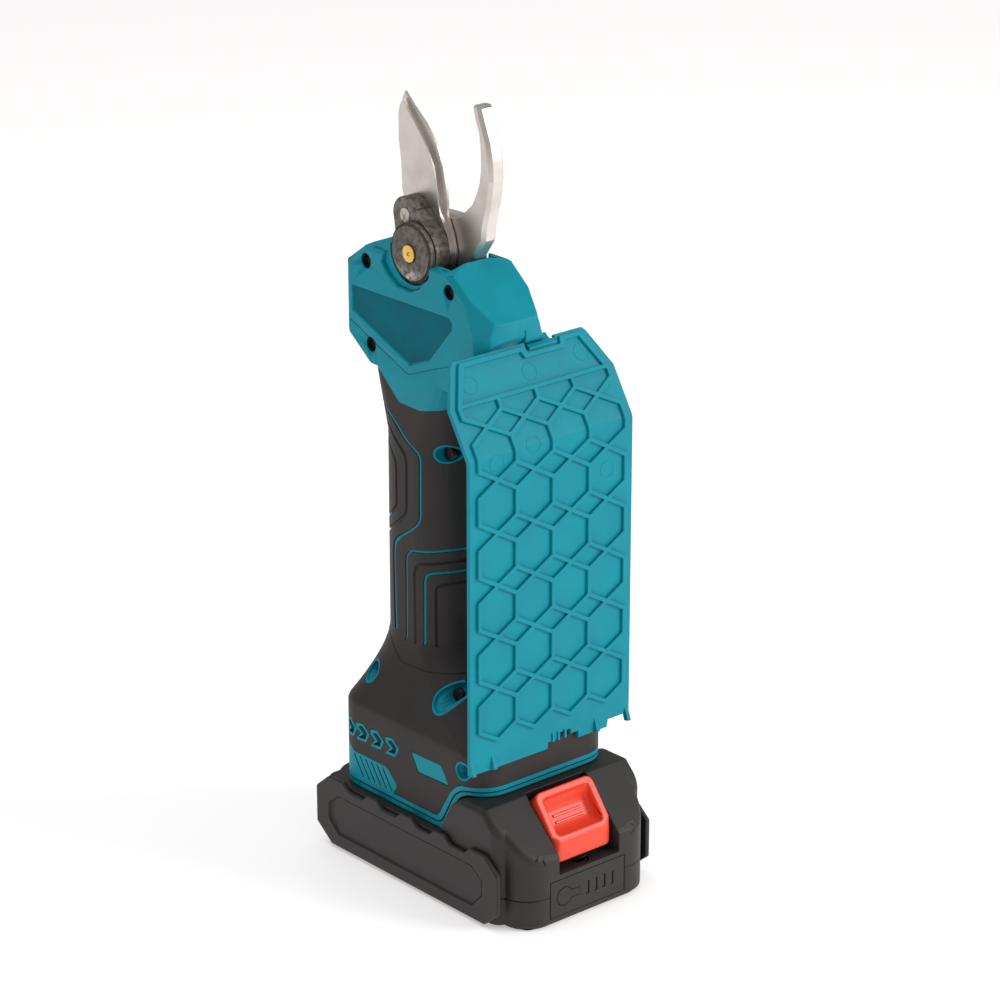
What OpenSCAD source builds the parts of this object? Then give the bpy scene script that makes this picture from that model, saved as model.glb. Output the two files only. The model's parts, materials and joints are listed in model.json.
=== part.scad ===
// Cordless pruning shears: bypass blades on a geared head, rubber covered handle, slide-on battery, snap-on hand guard.
// Frame: X across the tool, -Y towards the guard and the release button, +Z up. The origin is on the battery's bottom face.

/* [Blades] */
// Height of the blade pivot over the battery's bottom face
pivot_z = 234.5; // [200:0.5:260]
// Distance of the pivot and the drive line behind the origin
pivot_y = 24.5; // [15:0.5:35]
// Thickness of the hooked fixed blade
hook_t = 7; // [5:0.5:9]
// Thickness of the moving blade
blade_t = 3.1; // [2:0.1:5]
// Thickness of the drive plate's hub
hub_t = 6.6; // [4:0.1:9]
// Diameter of the pivot bolt
bolt_d = 9; // [6:0.5:12]
// Diameter of the pivot nut
nut_d = 22.4; // [16:0.2:28]

/* [Drive] */
// Teeth of the bevel pinion
pinion_n = 8; // [8:1:12]
// Teeth of the crown sector, counted as a full circle
crown_n = 30; // [24:1:40]
// Tooth module of the crown and its pinion
crown_m = 1.5; // [1:0.1:2]
// Tooth module of the planetary gears
planet_m = 0.7; // [0.5:0.1:1]
// Teeth of the ring gear
ring_n = 30; // [24:3:48]
// Teeth of the sun gear
sun_n = 12; // [9:3:18]
// Diameter of the motor can
motor_d = 25; // [22:0.5:28]
// Length of the motor can
motor_l = 47; // [35:1:55]

/* [Housing] */
// Width of the handle
handle_w = 34; // [30:1:40]
// Depth of the handle, front to back
handle_d = 40; // [34:1:46]
// Width of the gear head
head_w = 30; // [28:1:36]
// Thickness of the rubber overmould
rubber_t = 1.6; // [1:0.1:2.5]
// Thickness of the plastic shells under the rubber
wall_t = 2; // [1.5:0.1:3]
// Width of the foot that holds the battery
foot_w = 64; // [58:1:70]
// Front face of the foot
foot_front = -34.5; // [-40:0.5:-30]
// Rear face of the foot
foot_rear = 49; // [44:0.5:54]

/* [Guard] */
// Width of the hand guard
guard_w = 77.2; // [70:0.2:84]
// Front of the guard's ribs
guard_y = -37.6; // [-42:0.1:-36]
// Height of the guard's lower edge
guard_z0 = 58.2; // [50:0.2:64]
// Height of the bend in the guard
guard_z1 = 177.8; // [160:0.2:190]
// Lean of the guard above its bend, in degrees
guard_lean = 31.6; // [20:0.2:40]
// Thickness of the guard's plate
guard_t = 1.6; // [1.2:0.1:2.4]
// Height of the guard's ribs
rib_h = 1.1; // [0.6:0.1:2]
// Width of one honeycomb column
cell_w = 17.3; // [16:0.1:20]
// Height of one honeycomb row
cell_h = 19.85; // [17:0.05:24]

/* [Battery] */
// Width of the battery body
pack_w = 64; // [58:1:70]
// Width over the side pads
pad_w = 75; // [70:1:80]
// Front face of the battery
pack_front = -58; // [-64:0.5:-52]
// Rear face of the battery
pack_rear = 55; // [50:0.5:60]
// Height of the seam between the battery's base and cover
seam_z = 12; // [8:0.5:16]
// Height of the battery's flat top
pack_top = 27; // [24:0.5:30]
// Diameter of a cell
cell_d = 18.2; // [18:0.1:21]
// Number of cells side by side
cells_n = 5; // [3:1:5]

/* [Hidden] */
$fn = 48;

teal = [0.02, 0.55, 0.62];
black = [0.13, 0.12, 0.12];
steel = [0.72, 0.71, 0.69];
dark_steel = [0.24, 0.22, 0.21];
red = [0.93, 0.2, 0.1];
brass = [0.85, 0.63, 0.2];
alloy = [0.66, 0.67, 0.68];
copper = [0.75, 0.45, 0.25];
board = [0.1, 0.35, 0.2];

hx = head_w / 2;
fw = foot_w / 2;
inner_t = rubber_t + wall_t;
handle_y0 = pivot_y - handle_d / 2;
handle_y1 = pivot_y + handle_d / 2;
// the blades lie side by side along X from the nut on the left to the bracket on the right
hook_x = -1;
arm_x = hook_x + hook_t;
blade_x = hook_x - 0.3 - blade_t;
hub_x = blade_x - hub_t;
nut_x = hub_x - 0.3;
plate_t = guard_t + rib_h;
// middle of the lowest row of cells
first_row = guard_z0 + 21.3;
// length of the guard above its bend
guard_len = 36.2;
orbit = (sun_n + (ring_n - sun_n) / 2) * planet_m / 2;
planet_n = (ring_n - sun_n) / 2;
pad_x = pad_w / 2;

// outlines of the blades, as [y, z] from the pivot
hook_line = [[-18.3, 55.6], [-19.6, 50.7], [-21.6, 46], [-22.4, 40], [-22.4, 32.9], [-21.6, 28], [-20.2, 24.2],
    [-17.5, 19], [-13.3, 15.2], [-8.6, 13.4], [0, 13], [6.5, 11.3], [11.3, 6.5], [13, 0], [11.3, -6.5],
    [6.5, -11.3], [0, -13], [-9, -12.5], [-16, -8], [-19.9, 0.1], [-24.9, 7.2], [-25.4, 12.3], [-27.7, 20.3],
    [-29.1, 29.8], [-28.8, 36], [-27.4, 43.5], [-24.4, 50.7], [-21.7, 57.7]];
blade_line = [[16.1, 54.3], [17.6, 51], [17.9, 46], [17.9, 36.8], [16.6, 29.1], [16.2, 19], [14.6, 13],
    [12.2, 7], [11.7, 0], [10.1, -5.9], [5.9, -10.1], [0, -11.7], [-5.9, -10.1], [-10.1, -5.9], [-11.5, 0.8],
    [-9.9, 7], [-6.8, 13.4], [-7, 18], [-6.5, 22.5], [-4.9, 30.9], [-0.8, 38.4], [4.7, 44.6], [11.7, 50.2]];
// the same blade inside its ground bevel
blade_flat = [[14.8, 52], [16.6, 49.5], [17.4, 46], [17.4, 36.8], [16.1, 29.1], [15.7, 19], [14.1, 13],
    [11.7, 7], [11.2, 0], [9.7, -5.6], [5.6, -9.7], [0, -11.2], [-5.6, -9.7], [-9.7, -5.6], [-11, 0.8],
    [-9.4, 7], [-5.4, 13.4], [-4.4, 18], [-3.7, 22.5], [-2, 30.3], [1.9, 37], [7, 43.2], [12.4, 48.6]];
// outline of the head, as [y, z]
head_line = [[3.5, 187.9], [46.5, 187.9], [60.6, 198.5], [60.6, 224], [49.5, 232.4], [46, 234], [4.7, 234],
    [1, 231.6], [-17.8, 216.6], [-18.2, 210.5], [-14, 205]];
head_hole = [[7.2, 189.6], [44.2, 189.6], [47, 191.2], [58.6, 199.6], [58.6, 223], [48.8, 230.3], [45.6, 232],
    [5.4, 232], [2.2, 229.8], [-15.8, 215.5], [-16.1, 211.3], [-12.6, 206.4]];
scallop = [[12.5, 236], [13.4, 227.6], [18.4, 222.8], [23.6, 220.4], [31.3, 220.8], [36.5, 224.2],
    [39.6, 228], [36.8, 236]];
head_panel = [[56.6, 215.4], [2.9, 216], [0.3, 214.2], [1.1, 211.3], [13.3, 197.3], [24, 192.9], [56.3, 206]];
// the rubber covers what lies inside this outline
rubber_line = [[-60, 50.4], [-22.5, 48.4], [-17.5, 43.6], [-10.5, 31.4], [70, 31.4], [70, 190], [46.5, 187.4],
    [39.9, 186], [29.1, 177.7], [17.6, 177.4], [4, 180.4], [-60, 186]];
// underside of the foot over the battery
foot_line = [[-60, 45.4], [-26.2, 45.4], [-21.9, 42.8], [-14.2, 27.3], [70, 27.3], [70, 300], [-60, 300]];
floor_line = [[-60, 47.8], [-26.8, 47.8], [-22.8, 45], [-17, 35.5], [70, 35.5], [70, 300], [-60, 300]];
// screw posts of the shells as [y, z, how far the head sits from the middle plane]
posts = [[48.3, 226.4, 11], [2, 225.4, 11], [46, 195.2, 11], [8.4, 162, 8], [-3, 72.5, 14], [37.5, 71, 12],
    [-24, 54, 25]];
screw_tip = 5; // how far the housing screws reach into the right shell
trigger_line = [[-10, 203], [-2, 203], [1, 197], [-1.5, 186], [-4, 170], [-3.4, 158], [-4.6, 152.6],
    [-8.4, 151.2], [-10.6, 156], [-11.2, 168], [-9.6, 182], [-10.8, 192]];
pack_posts = [[-24.5, -51.6], [24.5, -51.6], [-24.5, 49.3], [24.5, 49.3]];
button_line = [[-42.6, 46], [-55, 30.2], [-55, 22.4], [-51, 22.4], [-51, 26.6], [-37.6, 40.6]];
button_hole = [[-39.2, 47.6], [-60, 34], [-60, 19.6], [-49.8, 19.6], [-49.8, 25.8], [-36.2, 40]];
pack_line = [[-58, seam_z], [-58, 26.6], [-56.6, 28.2], [-39.6, 45], [-26.6, 44.9], [-22.4, 42.2],
    [-14.6, pack_top], [pack_rear, pack_top], [pack_rear, seam_z]];
pad_low = [[-49.9, 7.5], [-49.9, 22.6], [-42.3, 28.9], [-34.3, 28.9], [-31.4, 26.2], [-23.2, 26.2],
    [-20, 28.9], [-14.4, 28.9], [-11.6, 26.2], [-4.6, 26.2], [-1.4, 28.9], [4.6, 28.9], [7.6, 26.2],
    [15.8, 26.2], [18.6, 28.9], [23.8, 28.9], [27, 26.2], [34.9, 26.2], [38.4, 28.9], [47.2, 28.9],
    [54.6, 22.7], [54.6, 7.9], [45.8, 1.2], [-42.3, 1.2]];
pad_panel = [[-41, 12.4], [-41, 18.2], [-35.5, 22.3], [41.3, 22.3], [46.8, 18], [46.8, 11.6], [41.5, 6.8],
    [-35.5, 6.7]];

// slab from x0 to x1 of an outline drawn as [y, z]
module side(x0, x1) translate([x0, 0, 0]) rotate([90, 0, 90]) linear_extrude(x1 - x0) children();
// slab from y0 to y1 of an outline drawn as [x, z]
module along_y(y0, y1) translate([0, y1, 0]) rotate([90, 0, 0]) linear_extrude(y1 - y0) children();
// rod along X
module rod_x(x0, x1, y, z, r) translate([x0, y, z]) rotate([0, 90, 0]) cylinder(h = x1 - x0, r = r);
// rod along Z
module rod_z(z0, z1, x, y, r) translate([x, y, z0]) cylinder(h = z1 - z0, r = r);
module box(x0, x1, y0, y1, z0, z1) translate([x0, y0, z0]) cube([x1 - x0, y1 - y0, z1 - z0]);
module rounded(x0, x1, y0, y1, r) {
    translate([x0 + r, y0]) square([x1 - x0 - 2 * r, y1 - y0]);
    translate([x0, y0 + r]) square([x1 - x0, y1 - y0 - 2 * r]);
    for (x = [x0 + r, x1 - r], y = [y0 + r, y1 - r]) translate([x, y]) circle(r);
}
// corner points of a rounded rectangle, n steps a corner
function corners(x0, x1, y0, y1, r, n) = [for (c = [[x1 - r, y1 - r, 0], [x0 + r, y1 - r, 90],
    [x0 + r, y0 + r, 180], [x1 - r, y0 + r, 270]], i = [0:n]) let (a = c[2] + i * 90 / n)
    [c[0] + r * cos(a), c[1] + r * sin(a)]];
module at_pivot() translate([0, pivot_y, pivot_z]) children();

// gear outline with n teeth whose thickness at the pitch line is wide mm
function tooth(n, m, a, rr, rt, wide) =
    let (h = 57.3 * wide / (n * m)) [
        [rr * cos(a - h * 1.5), rr * sin(a - h * 1.5)], [n * m / 2 * cos(a - h), n * m / 2 * sin(a - h)],
        [rt * cos(a - h * 0.42), rt * sin(a - h * 0.42)], [rt * cos(a + h * 0.42), rt * sin(a + h * 0.42)],
        [n * m / 2 * cos(a + h), n * m / 2 * sin(a + h)], [rr * cos(a + h * 1.5), rr * sin(a + h * 1.5)]];
module gear(n, m, rr, rt, wide, a0 = 0)
    polygon([for (i = [0:n - 1]) each tooth(n, m, a0 + i * 360 / n, rr, rt, wide)]);

// round wire wound into a coil along Z, closed at both ends
module coil(r, wire, turns, h, sides = 8, steps = 12) {
    n = floor(turns * steps);
    rings = [for (i = [0:n]) let (a = i * 360 / steps, z = h * i / n) [for (k = [0:sides - 1])
        let (b = k * 360 / sides) [(r + wire * cos(b)) * cos(a), (r + wire * cos(b)) * sin(a), z + wire * sin(b)]]];
    polyhedron([for (q = rings) each q], concat([[for (k = [0:sides - 1]) k]],
        [for (i = [0:n - 1], k = [0:sides - 1]) [i * sides + k, (i + 1) * sides + k,
            (i + 1) * sides + (k + 1) % sides, i * sides + (k + 1) % sides]],
        [[for (k = [sides - 1:-1:0]) n * sides + k]]));
}

// ---- outer form of the tool, g mm under its skin ----
module handle_section(g) polygon(corners(g - handle_w / 2, handle_w / 2 - g, handle_y0 + g, handle_y1 - g,
    handle_w / 2 - 1 - g, 6));
module foot_section(g) polygon(corners(g - fw, fw - g, foot_front + g, foot_rear - g, 12 - g, 5));
module neck_section(g) polygon(corners(g - hx, hx - g, 3.5 + g, 46.5 - g, 6 - g, 3));
module head_form() intersection() {
    side(-hx, hx) polygon(head_line);
    along_y(-30, 70) polygon([[-hx, 180], [hx, 180], [hx, 231.4], [4, 234.1], [-4, 234.1], [-hx, 231.4]]);
    translate([0, 0, 180]) linear_extrude(60) polygon([[-hx, 70], [-hx, -11], [-11.5, -16.4], [-6, -18.4],
        [6, -18.4], [11.5, -16.4], [hx, -11], [hx, 70]]);
}
module neck(g, bottom, top) hull() {
    translate([0, 0, bottom]) linear_extrude(0.01) handle_section(g);
    translate([0, 0, top - 0.01]) linear_extrude(0.01) neck_section(g);
}
module shoulder(g, bottom, top) hull() {
    translate([0, 0, bottom - 0.01]) linear_extrude(0.01) foot_section(g);
    translate([0, 0, top]) linear_extrude(0.01) handle_section(g);
}
module form(g) {
    translate([0, 0, 27.3]) linear_extrude(62 - 27.3 - g / 2) foot_section(g);
    shoulder(g, 62 - g / 2, 80 - g / 2);
    translate([0, 0, 80 - g / 2]) linear_extrude(86 + g / 2) handle_section(g);
    neck(g, 165, 188);
}
module half(left) intersection() {
    children();
    if (left) box(-60, 0, -70, 80, 0, 300);
    else box(0, 60, -70, 80, 0, 300);
}
// tab on the right shell that the guard hangs from
module guard_tab() side(3.5, 16.5)
    polygon([[-13.9, 217.4], [-17.8, 214.4], [-18.3, 209.4], [-17.8, 207.6], [-16.6, 206.9], [-15.4, 207.6],
        [-14.9, 209.2], [-9, 212]]);

module shell(left) {
    s = left ? -1 : 1;
    difference() {
        union() {
            half(left) difference() {
                union() {
                    intersection() { form(rubber_t); side(-60, 60) polygon(foot_line); }
                    difference() {
                        intersection() { form(0); side(-60, 60) polygon(foot_line); }
                        side(-60, 60) polygon(rubber_line);
                    }
                    difference() {
                        head_form();
                        // room for the guard's hook
                        if (!left) rod_x(3.1, 20, -16.6, 208.8, 3.8);
                    }
                    if (!left) guard_tab();
                }
                difference() {
                    intersection() { form(inner_t); side(-60, 60) polygon(floor_line); }
                    for (p = posts) rod_x(left ? -40 : 0.2, left ? -0.2 : 40, p[0], p[1], 3);
                }
                translate([0, 0, 187.5]) linear_extrude(3) neck_section(inner_t);
                difference() {
                    intersection() {
                        side(2 - hx, hx - 2) polygon(head_hole);
                        translate([0, 0, 180]) linear_extrude(60) polygon([[-13, 60], [-13, -9], [-8, -16],
                            [8, -16], [13, -9], [13, 60]]);
                    }
                    for (p = posts) rod_x(left ? -40 : 0.2, left ? -0.2 : 40, p[0], p[1], 3);
                    // bosses of the trigger's pin
                    box(s < 0 ? -9.4 : 6.6, s < 0 ? -6.6 : 9.4, -10, -2, 190, 202.6);
                }
                // channel for the battery rails
                box(-24.5, 24.5, -60, 44.6, 30.6, 33.5);
                box(-22.4, 22.4, -60, 44.6, 20, 30.7);
                for (x = [-9, 0, 9]) box(x - 1.4, x + 1.4, 24, 42, 33, 36);
                // slot for the blades in the top of the head
                box(nut_x - 0.1, 12.8, 4.6, 38.6, 218, 240);
                // slot for the trigger
                side(-6.6, 6.6) polygon([[-12.4, 208], [-12.4, 186], [2.6, 184], [2.6, 200]]);
                rod_x(-7.4, 7.4, -6, 199, 1.5);
            }
            // thick lip round the nut's pocket
            if (left) side(nut_x - 1.9, nut_x) polygon([[8.6, 232.4], [10.2, 225.6], [20, 216.6], [34, 216.8],
                [43.4, 226], [41.4, 232.4]]);
        }
        side(s < 0 ? -20 : hx - 3, s < 0 ? nut_x : 20) polygon(scallop);
        side(s < 0 ? -hx - 1 : hx - 0.7, s < 0 ? 0.7 - hx : hx + 1) polygon(head_panel);
        for (p = posts) {
            if (left) rod_x(-40, -p[2], p[0], p[1], 2.9);
            rod_x(left ? -p[2] - 1 : -1, left ? 1 : 9, p[0], p[1], 1.55);
        }
    }
}
module housing_left() color(teal) shell(true);
module housing_right() color(teal) shell(false);

module grip(left) half(left) difference() {
    intersection() {
        form(0);
        side(-60, 60) polygon(rubber_line);
    }
    form(rubber_t);
    head_form();
    if (left) for (p = posts) rod_x(-40, -5, p[0], p[1], 2.9);
}
module grip_left() color(black) grip(true);
module grip_right() color(black) grip(false);

// ---- guard ----
module leaning() translate([0, guard_y, guard_z1]) rotate([-guard_lean, 0, 0]) children();
// hollow inside one honeycomb cell, and the diamond between four of them
module honeycomb(rows, z0) for (c = [-1.5:1:1.5], r = [0:rows - 1]) translate([c * cell_w, z0 + r * cell_h])
    polygon([[0, 9.0], [7.85, 4.5], [7.85, -4.5], [0, -9.0], [-7.85, -4.5], [-7.85, 4.5]]);
module diamonds(rows, z0) for (c = [-1, 0, 1], r = [0:rows - 1]) translate([c * cell_w, z0 + r * cell_h])
    polygon([[0, 3.9], [6.8, 0], [0, -3.9], [-6.8, 0]]);
module hand_guard() color(teal) {
    difference() {
        intersection() {
            side(-guard_w / 2, guard_w / 2) polygon([[guard_y, guard_z0], [guard_y, guard_z1],
                [guard_y + guard_len * sin(guard_lean), guard_z1 + guard_len * cos(guard_lean)],
                [guard_y + guard_len * sin(guard_lean) + plate_t * cos(guard_lean),
                    guard_z1 + guard_len * cos(guard_lean) - plate_t * sin(guard_lean)],
                [guard_y + plate_t, guard_z1 - plate_t * tan(guard_lean / 2)], [guard_y + plate_t, guard_z0]]);
            along_y(guard_y - 1, 0) polygon([[-guard_w, 0], [guard_w, 0], [guard_w / 2, guard_z1 + 17],
                [guard_w / 2 - 7.8, guard_z1 + 31.4], [7.8 - guard_w / 2, guard_z1 + 31.4],
                [-guard_w / 2, guard_z1 + 17]]);
        }
        along_y(guard_y - 1, guard_y + rib_h) {
            honeycomb(5, first_row);
            diamonds(5, first_row + cell_h / 2);
            for (x = [-guard_w, guard_w / 2 - 3.2]) translate([x, 0]) square([guard_w / 2 + 3.2, guard_z1]);
            translate([-guard_w, 0]) square([2 * guard_w, first_row - cell_h / 2 - 1]);
        }
        leaning() along_y(-1, rib_h) {
            diamonds(1, 11.6);
            polygon([[-34.8, 22.6], [-29.4, 34], [29.4, 34], [34.8, 22.6]]);
        }
        // room round the tab on the head
        leaning() box(3, 17, -1, 4, 33.4, 40);
        // steps in the lower edge, over the battery's release button
        box(-1.4, 13.4, guard_y - 1, 0, 0, guard_z0 + 2.6);
        box(28, 37, guard_y - 1, 0, 0, guard_z0 + 2.8);
    }
    // hook that hangs on the tab
    side(3.6, 16.4) polygon(concat([[-20.2, 208.8], [-20.2, 205.8], [-18.2, 204.4]],
        [for (a = [264:16:344]) [3.4 * cos(a) - 16.6, 3.4 * sin(a) + 208.8]],
        [for (a = [344:-16.4:180]) [2.3 * cos(a) - 16.6, 2.3 * sin(a) + 208.8]]));
    // fins along the lower edge
    for (x = [-38.6, -28.6, 21.2, 36.4]) side(x, x + 1.5) polygon([[guard_y + rib_h + 0.3, guard_z0 + 6],
        [guard_y - 0.8, guard_z0 + 0.6], [guard_y + rib_h + 0.3, guard_z0 + 0.1]]);
}

// ---- blades and their pivot ----
module fixed_blade() color(steel) difference() {
    at_pivot() side(hook_x, hook_x + hook_t) polygon(hook_line);
    at_pivot() rod_x(hook_x - 1, hook_x + hook_t + 1, 0, 0, bolt_d / 2);
    for (y = [-8, 8]) at_pivot() {
        rod_x(hook_x - 1, hook_x + 2.2, y, -8.2, 3.6);
        rod_x(hook_x - 1, hook_x + hook_t + 1, y, -8.2, 2);
    }
}
module blade_screws() color(dark_steel) for (y = [-8, 8]) at_pivot() {
    rod_x(hook_x + 0.2, hook_x + 2.2, y, -8.2, 3.6);
    rod_x(hook_x + 2.1, 12, y, -8.2, 2);
}
module moving_blade() color(steel) difference() {
    at_pivot() {
        side(blade_x + blade_t - 1.1, blade_x + blade_t) polygon(blade_line);
        side(blade_x, blade_x + blade_t - 1) polygon(blade_flat);
    }
    at_pivot() rod_x(blade_x - 1, blade_x + blade_t + 1, 0, 0, bolt_d / 2 + 0.05);
    at_pivot() rod_x(blade_x - 1, blade_x + blade_t + 1, 6.3, 12.2, 2.65);
}
module sector_gear() color(dark_steel) at_pivot() difference() {
    union() {
        rod_x(hub_x, blade_x, 0, 0, 11.3);
        rod_x(hub_x, blade_x, 6.3, 12.2, 6.8);
        side(hub_x, blade_x) polygon([[-10.4, 4.2], [-0.3, 15.4], [12.6, 9.6], [11, -2.6]]);
        side(hub_x, hub_x + 3.4) polygon(concat([[0, 0]],
            [for (a = [-23:8:57]) [-25 * sin(a), -25 * cos(a)]]));
        for (k = [-2:4]) rotate([-(k + 0.5) * 360 / crown_n, 0, 0]) translate([hub_x + 3.3, 0, -24.6])
            linear_extrude(5) polygon([[0, -1.35], [0, 1.35], [2.7, 0.55], [2.7, -0.55]]);
    }
    rod_x(hub_x - 1, blade_x + 1, 0, 0, bolt_d / 2 + 0.05);
    rod_x(hub_x - 1, blade_x + 1, 6.3, 12.2, 2.65);
}
module drive_pin() color(steel) at_pivot() rod_x(hub_x, blade_x + blade_t, 6.3, 12.2, 2.65);
module pivot_bolt() color(dark_steel) at_pivot() difference() {
    union() {
        rod_x(nut_x - 1.4, 12.6, 0, 0, bolt_d / 2);
        rod_x(12.6, hx - 0.4, 0, 0, 8);
    }
    rod_x(13.2, 16, 0, 0, 2.9, $fn = 6);
}
module pivot_nut() color(dark_steel) at_pivot() difference() {
    union() {
        rod_x(nut_x - 2.2, nut_x, 0, 0, nut_d / 2);
        rod_x(nut_x - 2.9, nut_x - 2.1, 0, 0, nut_d / 2 - 0.9);
    }
    rod_x(nut_x - 1.4, nut_x + 1, 0, 0, bolt_d / 2);
    rod_x(nut_x - 4, nut_x, 0, 0, 3.2);
}
module grease_plug() color(brass) at_pivot() rod_x(nut_x - 3.6, nut_x - 1.4, 0, 0, 3.2);

// ---- drive ----
module gear_frame() color(alloy) difference() {
    union() {
        rod_z(180.2, 184.4, 0, pivot_y, 11.4);
        rod_z(184, 193.4, 0, pivot_y, 10);
        box(8.4, 11.1, 17.5, 31.5, 183, 192);
        box(8.4, 12.6, 15.5, 33.5, 190.6, 226);
        side(arm_x, 12.6) polygon([[12, 218], [37, 218], [37, 227], [33.6, 236], [29, 242], [20, 242],
            [15.4, 236], [12, 227]]);
    }
    rod_z(184.6, 195, 0, pivot_y, 8);
    rod_z(170, 190, 0, pivot_y, 5.2);
    at_pivot() rod_x(0, 20, 0, 0, bolt_d / 2);
    for (y = [-8, 8]) at_pivot() rod_x(0, 12, y, -8.2, 2);
}
module pinion_bearing() color(steel) difference() {
    rod_z(184.6, 189.6, 0, pivot_y, 8);
    rod_z(184, 190, 0, pivot_y, 4.05);
}
module pinion() color(steel) translate([0, pivot_y, 0]) {
    translate([0, 0, 208]) linear_extrude(8)
        gear(pinion_n, crown_m, 4.3, 7.2, 1.85, 180);
    rod_z(171.2, 208.2, 0, 0, 4);
    rod_z(171.2, 174.4, 0, 0, 9.2);
    for (i = [0:2]) rotate([0, 0, i * 120]) rod_z(164, 171.4, orbit, 0, 1);
}
module planet(i) color(steel) translate([0, pivot_y, 0]) rotate([0, 0, i * 120]) translate([orbit, 0, 164.2])
    difference() {
        linear_extrude(6.6) gear(planet_n, planet_m, planet_n * planet_m / 2 - 0.75, planet_n * planet_m / 2 + 0.4, 0.8, 180);
        translate([0, 0, -1]) cylinder(h = 9, r = 1.05);
    }
module planet_1() planet(0);
module planet_2() planet(1);
module planet_3() planet(2);
module gear_case() color(alloy) translate([0, pivot_y, 0]) {
    difference() {
        translate([0, 0, 156]) cylinder(h = 24.2, r = 11.9);
        translate([0, 0, 158.6]) cylinder(h = 30, r = 11.3);
        translate([0, 0, 150]) cylinder(h = 12, r = 4);
    }
    translate([0, 0, 163.6]) linear_extrude(7) difference() {
        circle(11.6);
        gear(ring_n, planet_m, ring_n * planet_m / 2 - 0.5, ring_n * planet_m / 2 + 0.75, 1.4, 180 / ring_n);
    }
}
module rotor() color(steel) translate([0, pivot_y, 0]) {
    rod_z(106.4, 170, 0, 0, 1.6);
    translate([0, 0, 164]) linear_extrude(6) gear(sun_n, planet_m, sun_n * planet_m / 2 - 0.75,
        sun_n * planet_m / 2 + 0.4, 0.8, 180 / sun_n);
}
module motor() color(dark_steel) translate([0, pivot_y, 0]) difference() {
    union() {
        rod_z(156 - motor_l, 156, 0, 0, motor_d / 2);
        rod_z(153 - motor_l, 157 - motor_l, 0, 0, motor_d / 2 - 2);
    }
    rod_z(153, 160, 0, 0, 4);
    rod_z(100, 160, 0, 0, 1.66);
}

// ---- trigger ----
module trigger() color(teal) difference() {
    side(-5.6, 5.6) polygon(trigger_line);
    rod_x(-10, 10, -6, 199, 1.55);
    translate([0, -1.5, 178]) rotate([-90, 0, 0]) translate([0, 0, -3]) cylinder(h = 6, r = 3.4);
}
module trigger_pin() color(steel) rod_x(-7.4, 7.4, -6, 199, 1.5);
module trigger_spring() color(steel) translate([0, -4, 178]) rotate([-90, 0, 0]) coil(2.4, 0.35, 4, 7.4);
module trigger_switch() color(black) {
    box(-5, 5, -3, 8, 205, 212);
    box(-13, 13, -1, 6, 209.4, 211);
    box(-2, 2, -1, 2, 204.2, 205.2);
}

// ---- electrics in the foot ----
module control_board() color(board) {
    box(inner_t - fw, fw - inner_t, -20, 36.5, 48, 49.6);
    for (x = [-16, -6, 4]) box(x, x + 8, 20, 34, 49.5, 53);
    rod_z(49.5, 60, 14, 0, 5);
}
module power_leads() color(copper) for (x = [-5, 0, 5]) rod_z(53, 153 - motor_l, x, 23, 1.1);
module terminal_block() color(black) difference() {
    union() {
        box(-14, 14, 22, 43, 35.5, 45);
        for (x = [-9, 0, 9]) box(x - 0.4, x + 0.4, 25, 41, 28.6, 36);
    }
    box(-10, 10, 26, 39, 43, 50);
}
module housing_screws() color(dark_steel) for (p = posts) {
    rod_x(-p[2] - 2, -p[2], p[0], p[1], 2.6);
    rod_x(-p[2] - 0.1, screw_tip, p[0], p[1], 1.5);
}

// ---- battery ----
module pack_section(g) {
    rounded(g - pack_w / 2, pack_w / 2 - g, pack_front + g, pack_rear - g, 12 - g);
    rounded(g - pad_x + 2, pad_x - 2 - g, g - 48, 52 - g, 5 - g);
}
module cup() rod_z(seam_z + 0.2, 19.6, 0, -52.6, 4.2);
module battery_base() color(black) difference() {
    union() {
        linear_extrude(1.4) rounded(1.4 - pack_w / 2, pack_w / 2 - 1.4, pack_front + 1.4, pack_rear - 1.4, 10.6);
        translate([0, 0, 1.3]) linear_extrude(seam_z - 1.3) pack_section(0);
    }
    difference() {
        translate([0, 0, 2.6]) linear_extrude(30) pack_section(2);
        for (p = pack_posts) rod_z(2, seam_z, p[0], p[1], 3.3);
    }
    for (p = pack_posts) {
        rod_z(-1, 2.4, p[0], p[1], 2.9);
        rod_z(-1, 30, p[0], p[1], 1.55);
    }
    box(-19, 17.4, pack_front - 1, pack_front + 1.6, 3, 17.6);
}
module battery_cover() color(black) difference() {
    union() {
        difference() {
            intersection() {
                translate([0, 0, seam_z]) linear_extrude(40) pack_section(0);
                side(-60, 60) polygon(pack_line);
            }
            intersection() {
                translate([0, 0, seam_z - 1]) linear_extrude(33) pack_section(2);
                side(-60, 60) polygon([[-60, 0], [-60, 17.4], [-48.2, 17.4], [-48.2, 24.4], [-34.6, 38.6],
                    [-34.6, 43], [-27.2, 43], [-24.4, 41.2], [-16.6, 24.9], [60, 24.9], [60, 0]]);
            }
        }
        for (p = pack_posts) rod_z(seam_z, 25.5, p[0], p[1], 3.3);
        cup();
        // rails that slide into the foot
        box(-22, 22, -14, 44, 26.9, 33);
        box(-24, 24, -14, 44, 31, 33);
    }
    side(-14.5, 14.5) polygon(button_hole);
    rod_z(seam_z + 1.2, 21, 0, -52.6, 3.2);
    for (x = [-9, 0, 9]) box(x - 2.2, x + 2.2, 22, 44.1, 24, 34);
    for (p = pack_posts) rod_z(seam_z - 1, 22, p[0], p[1], 1.55);
    box(-19, 17.4, pack_front - 1, pack_front + 1.6, 3, 17.6);
    box(-20, 20, -9, 20, 30, 34);
}
module pad_right() color(black) difference() {
    side(pad_x - 2, pad_x) polygon(pad_low);
    side(pad_x - 0.7, pad_x + 1) polygon(pad_panel);
}
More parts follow.
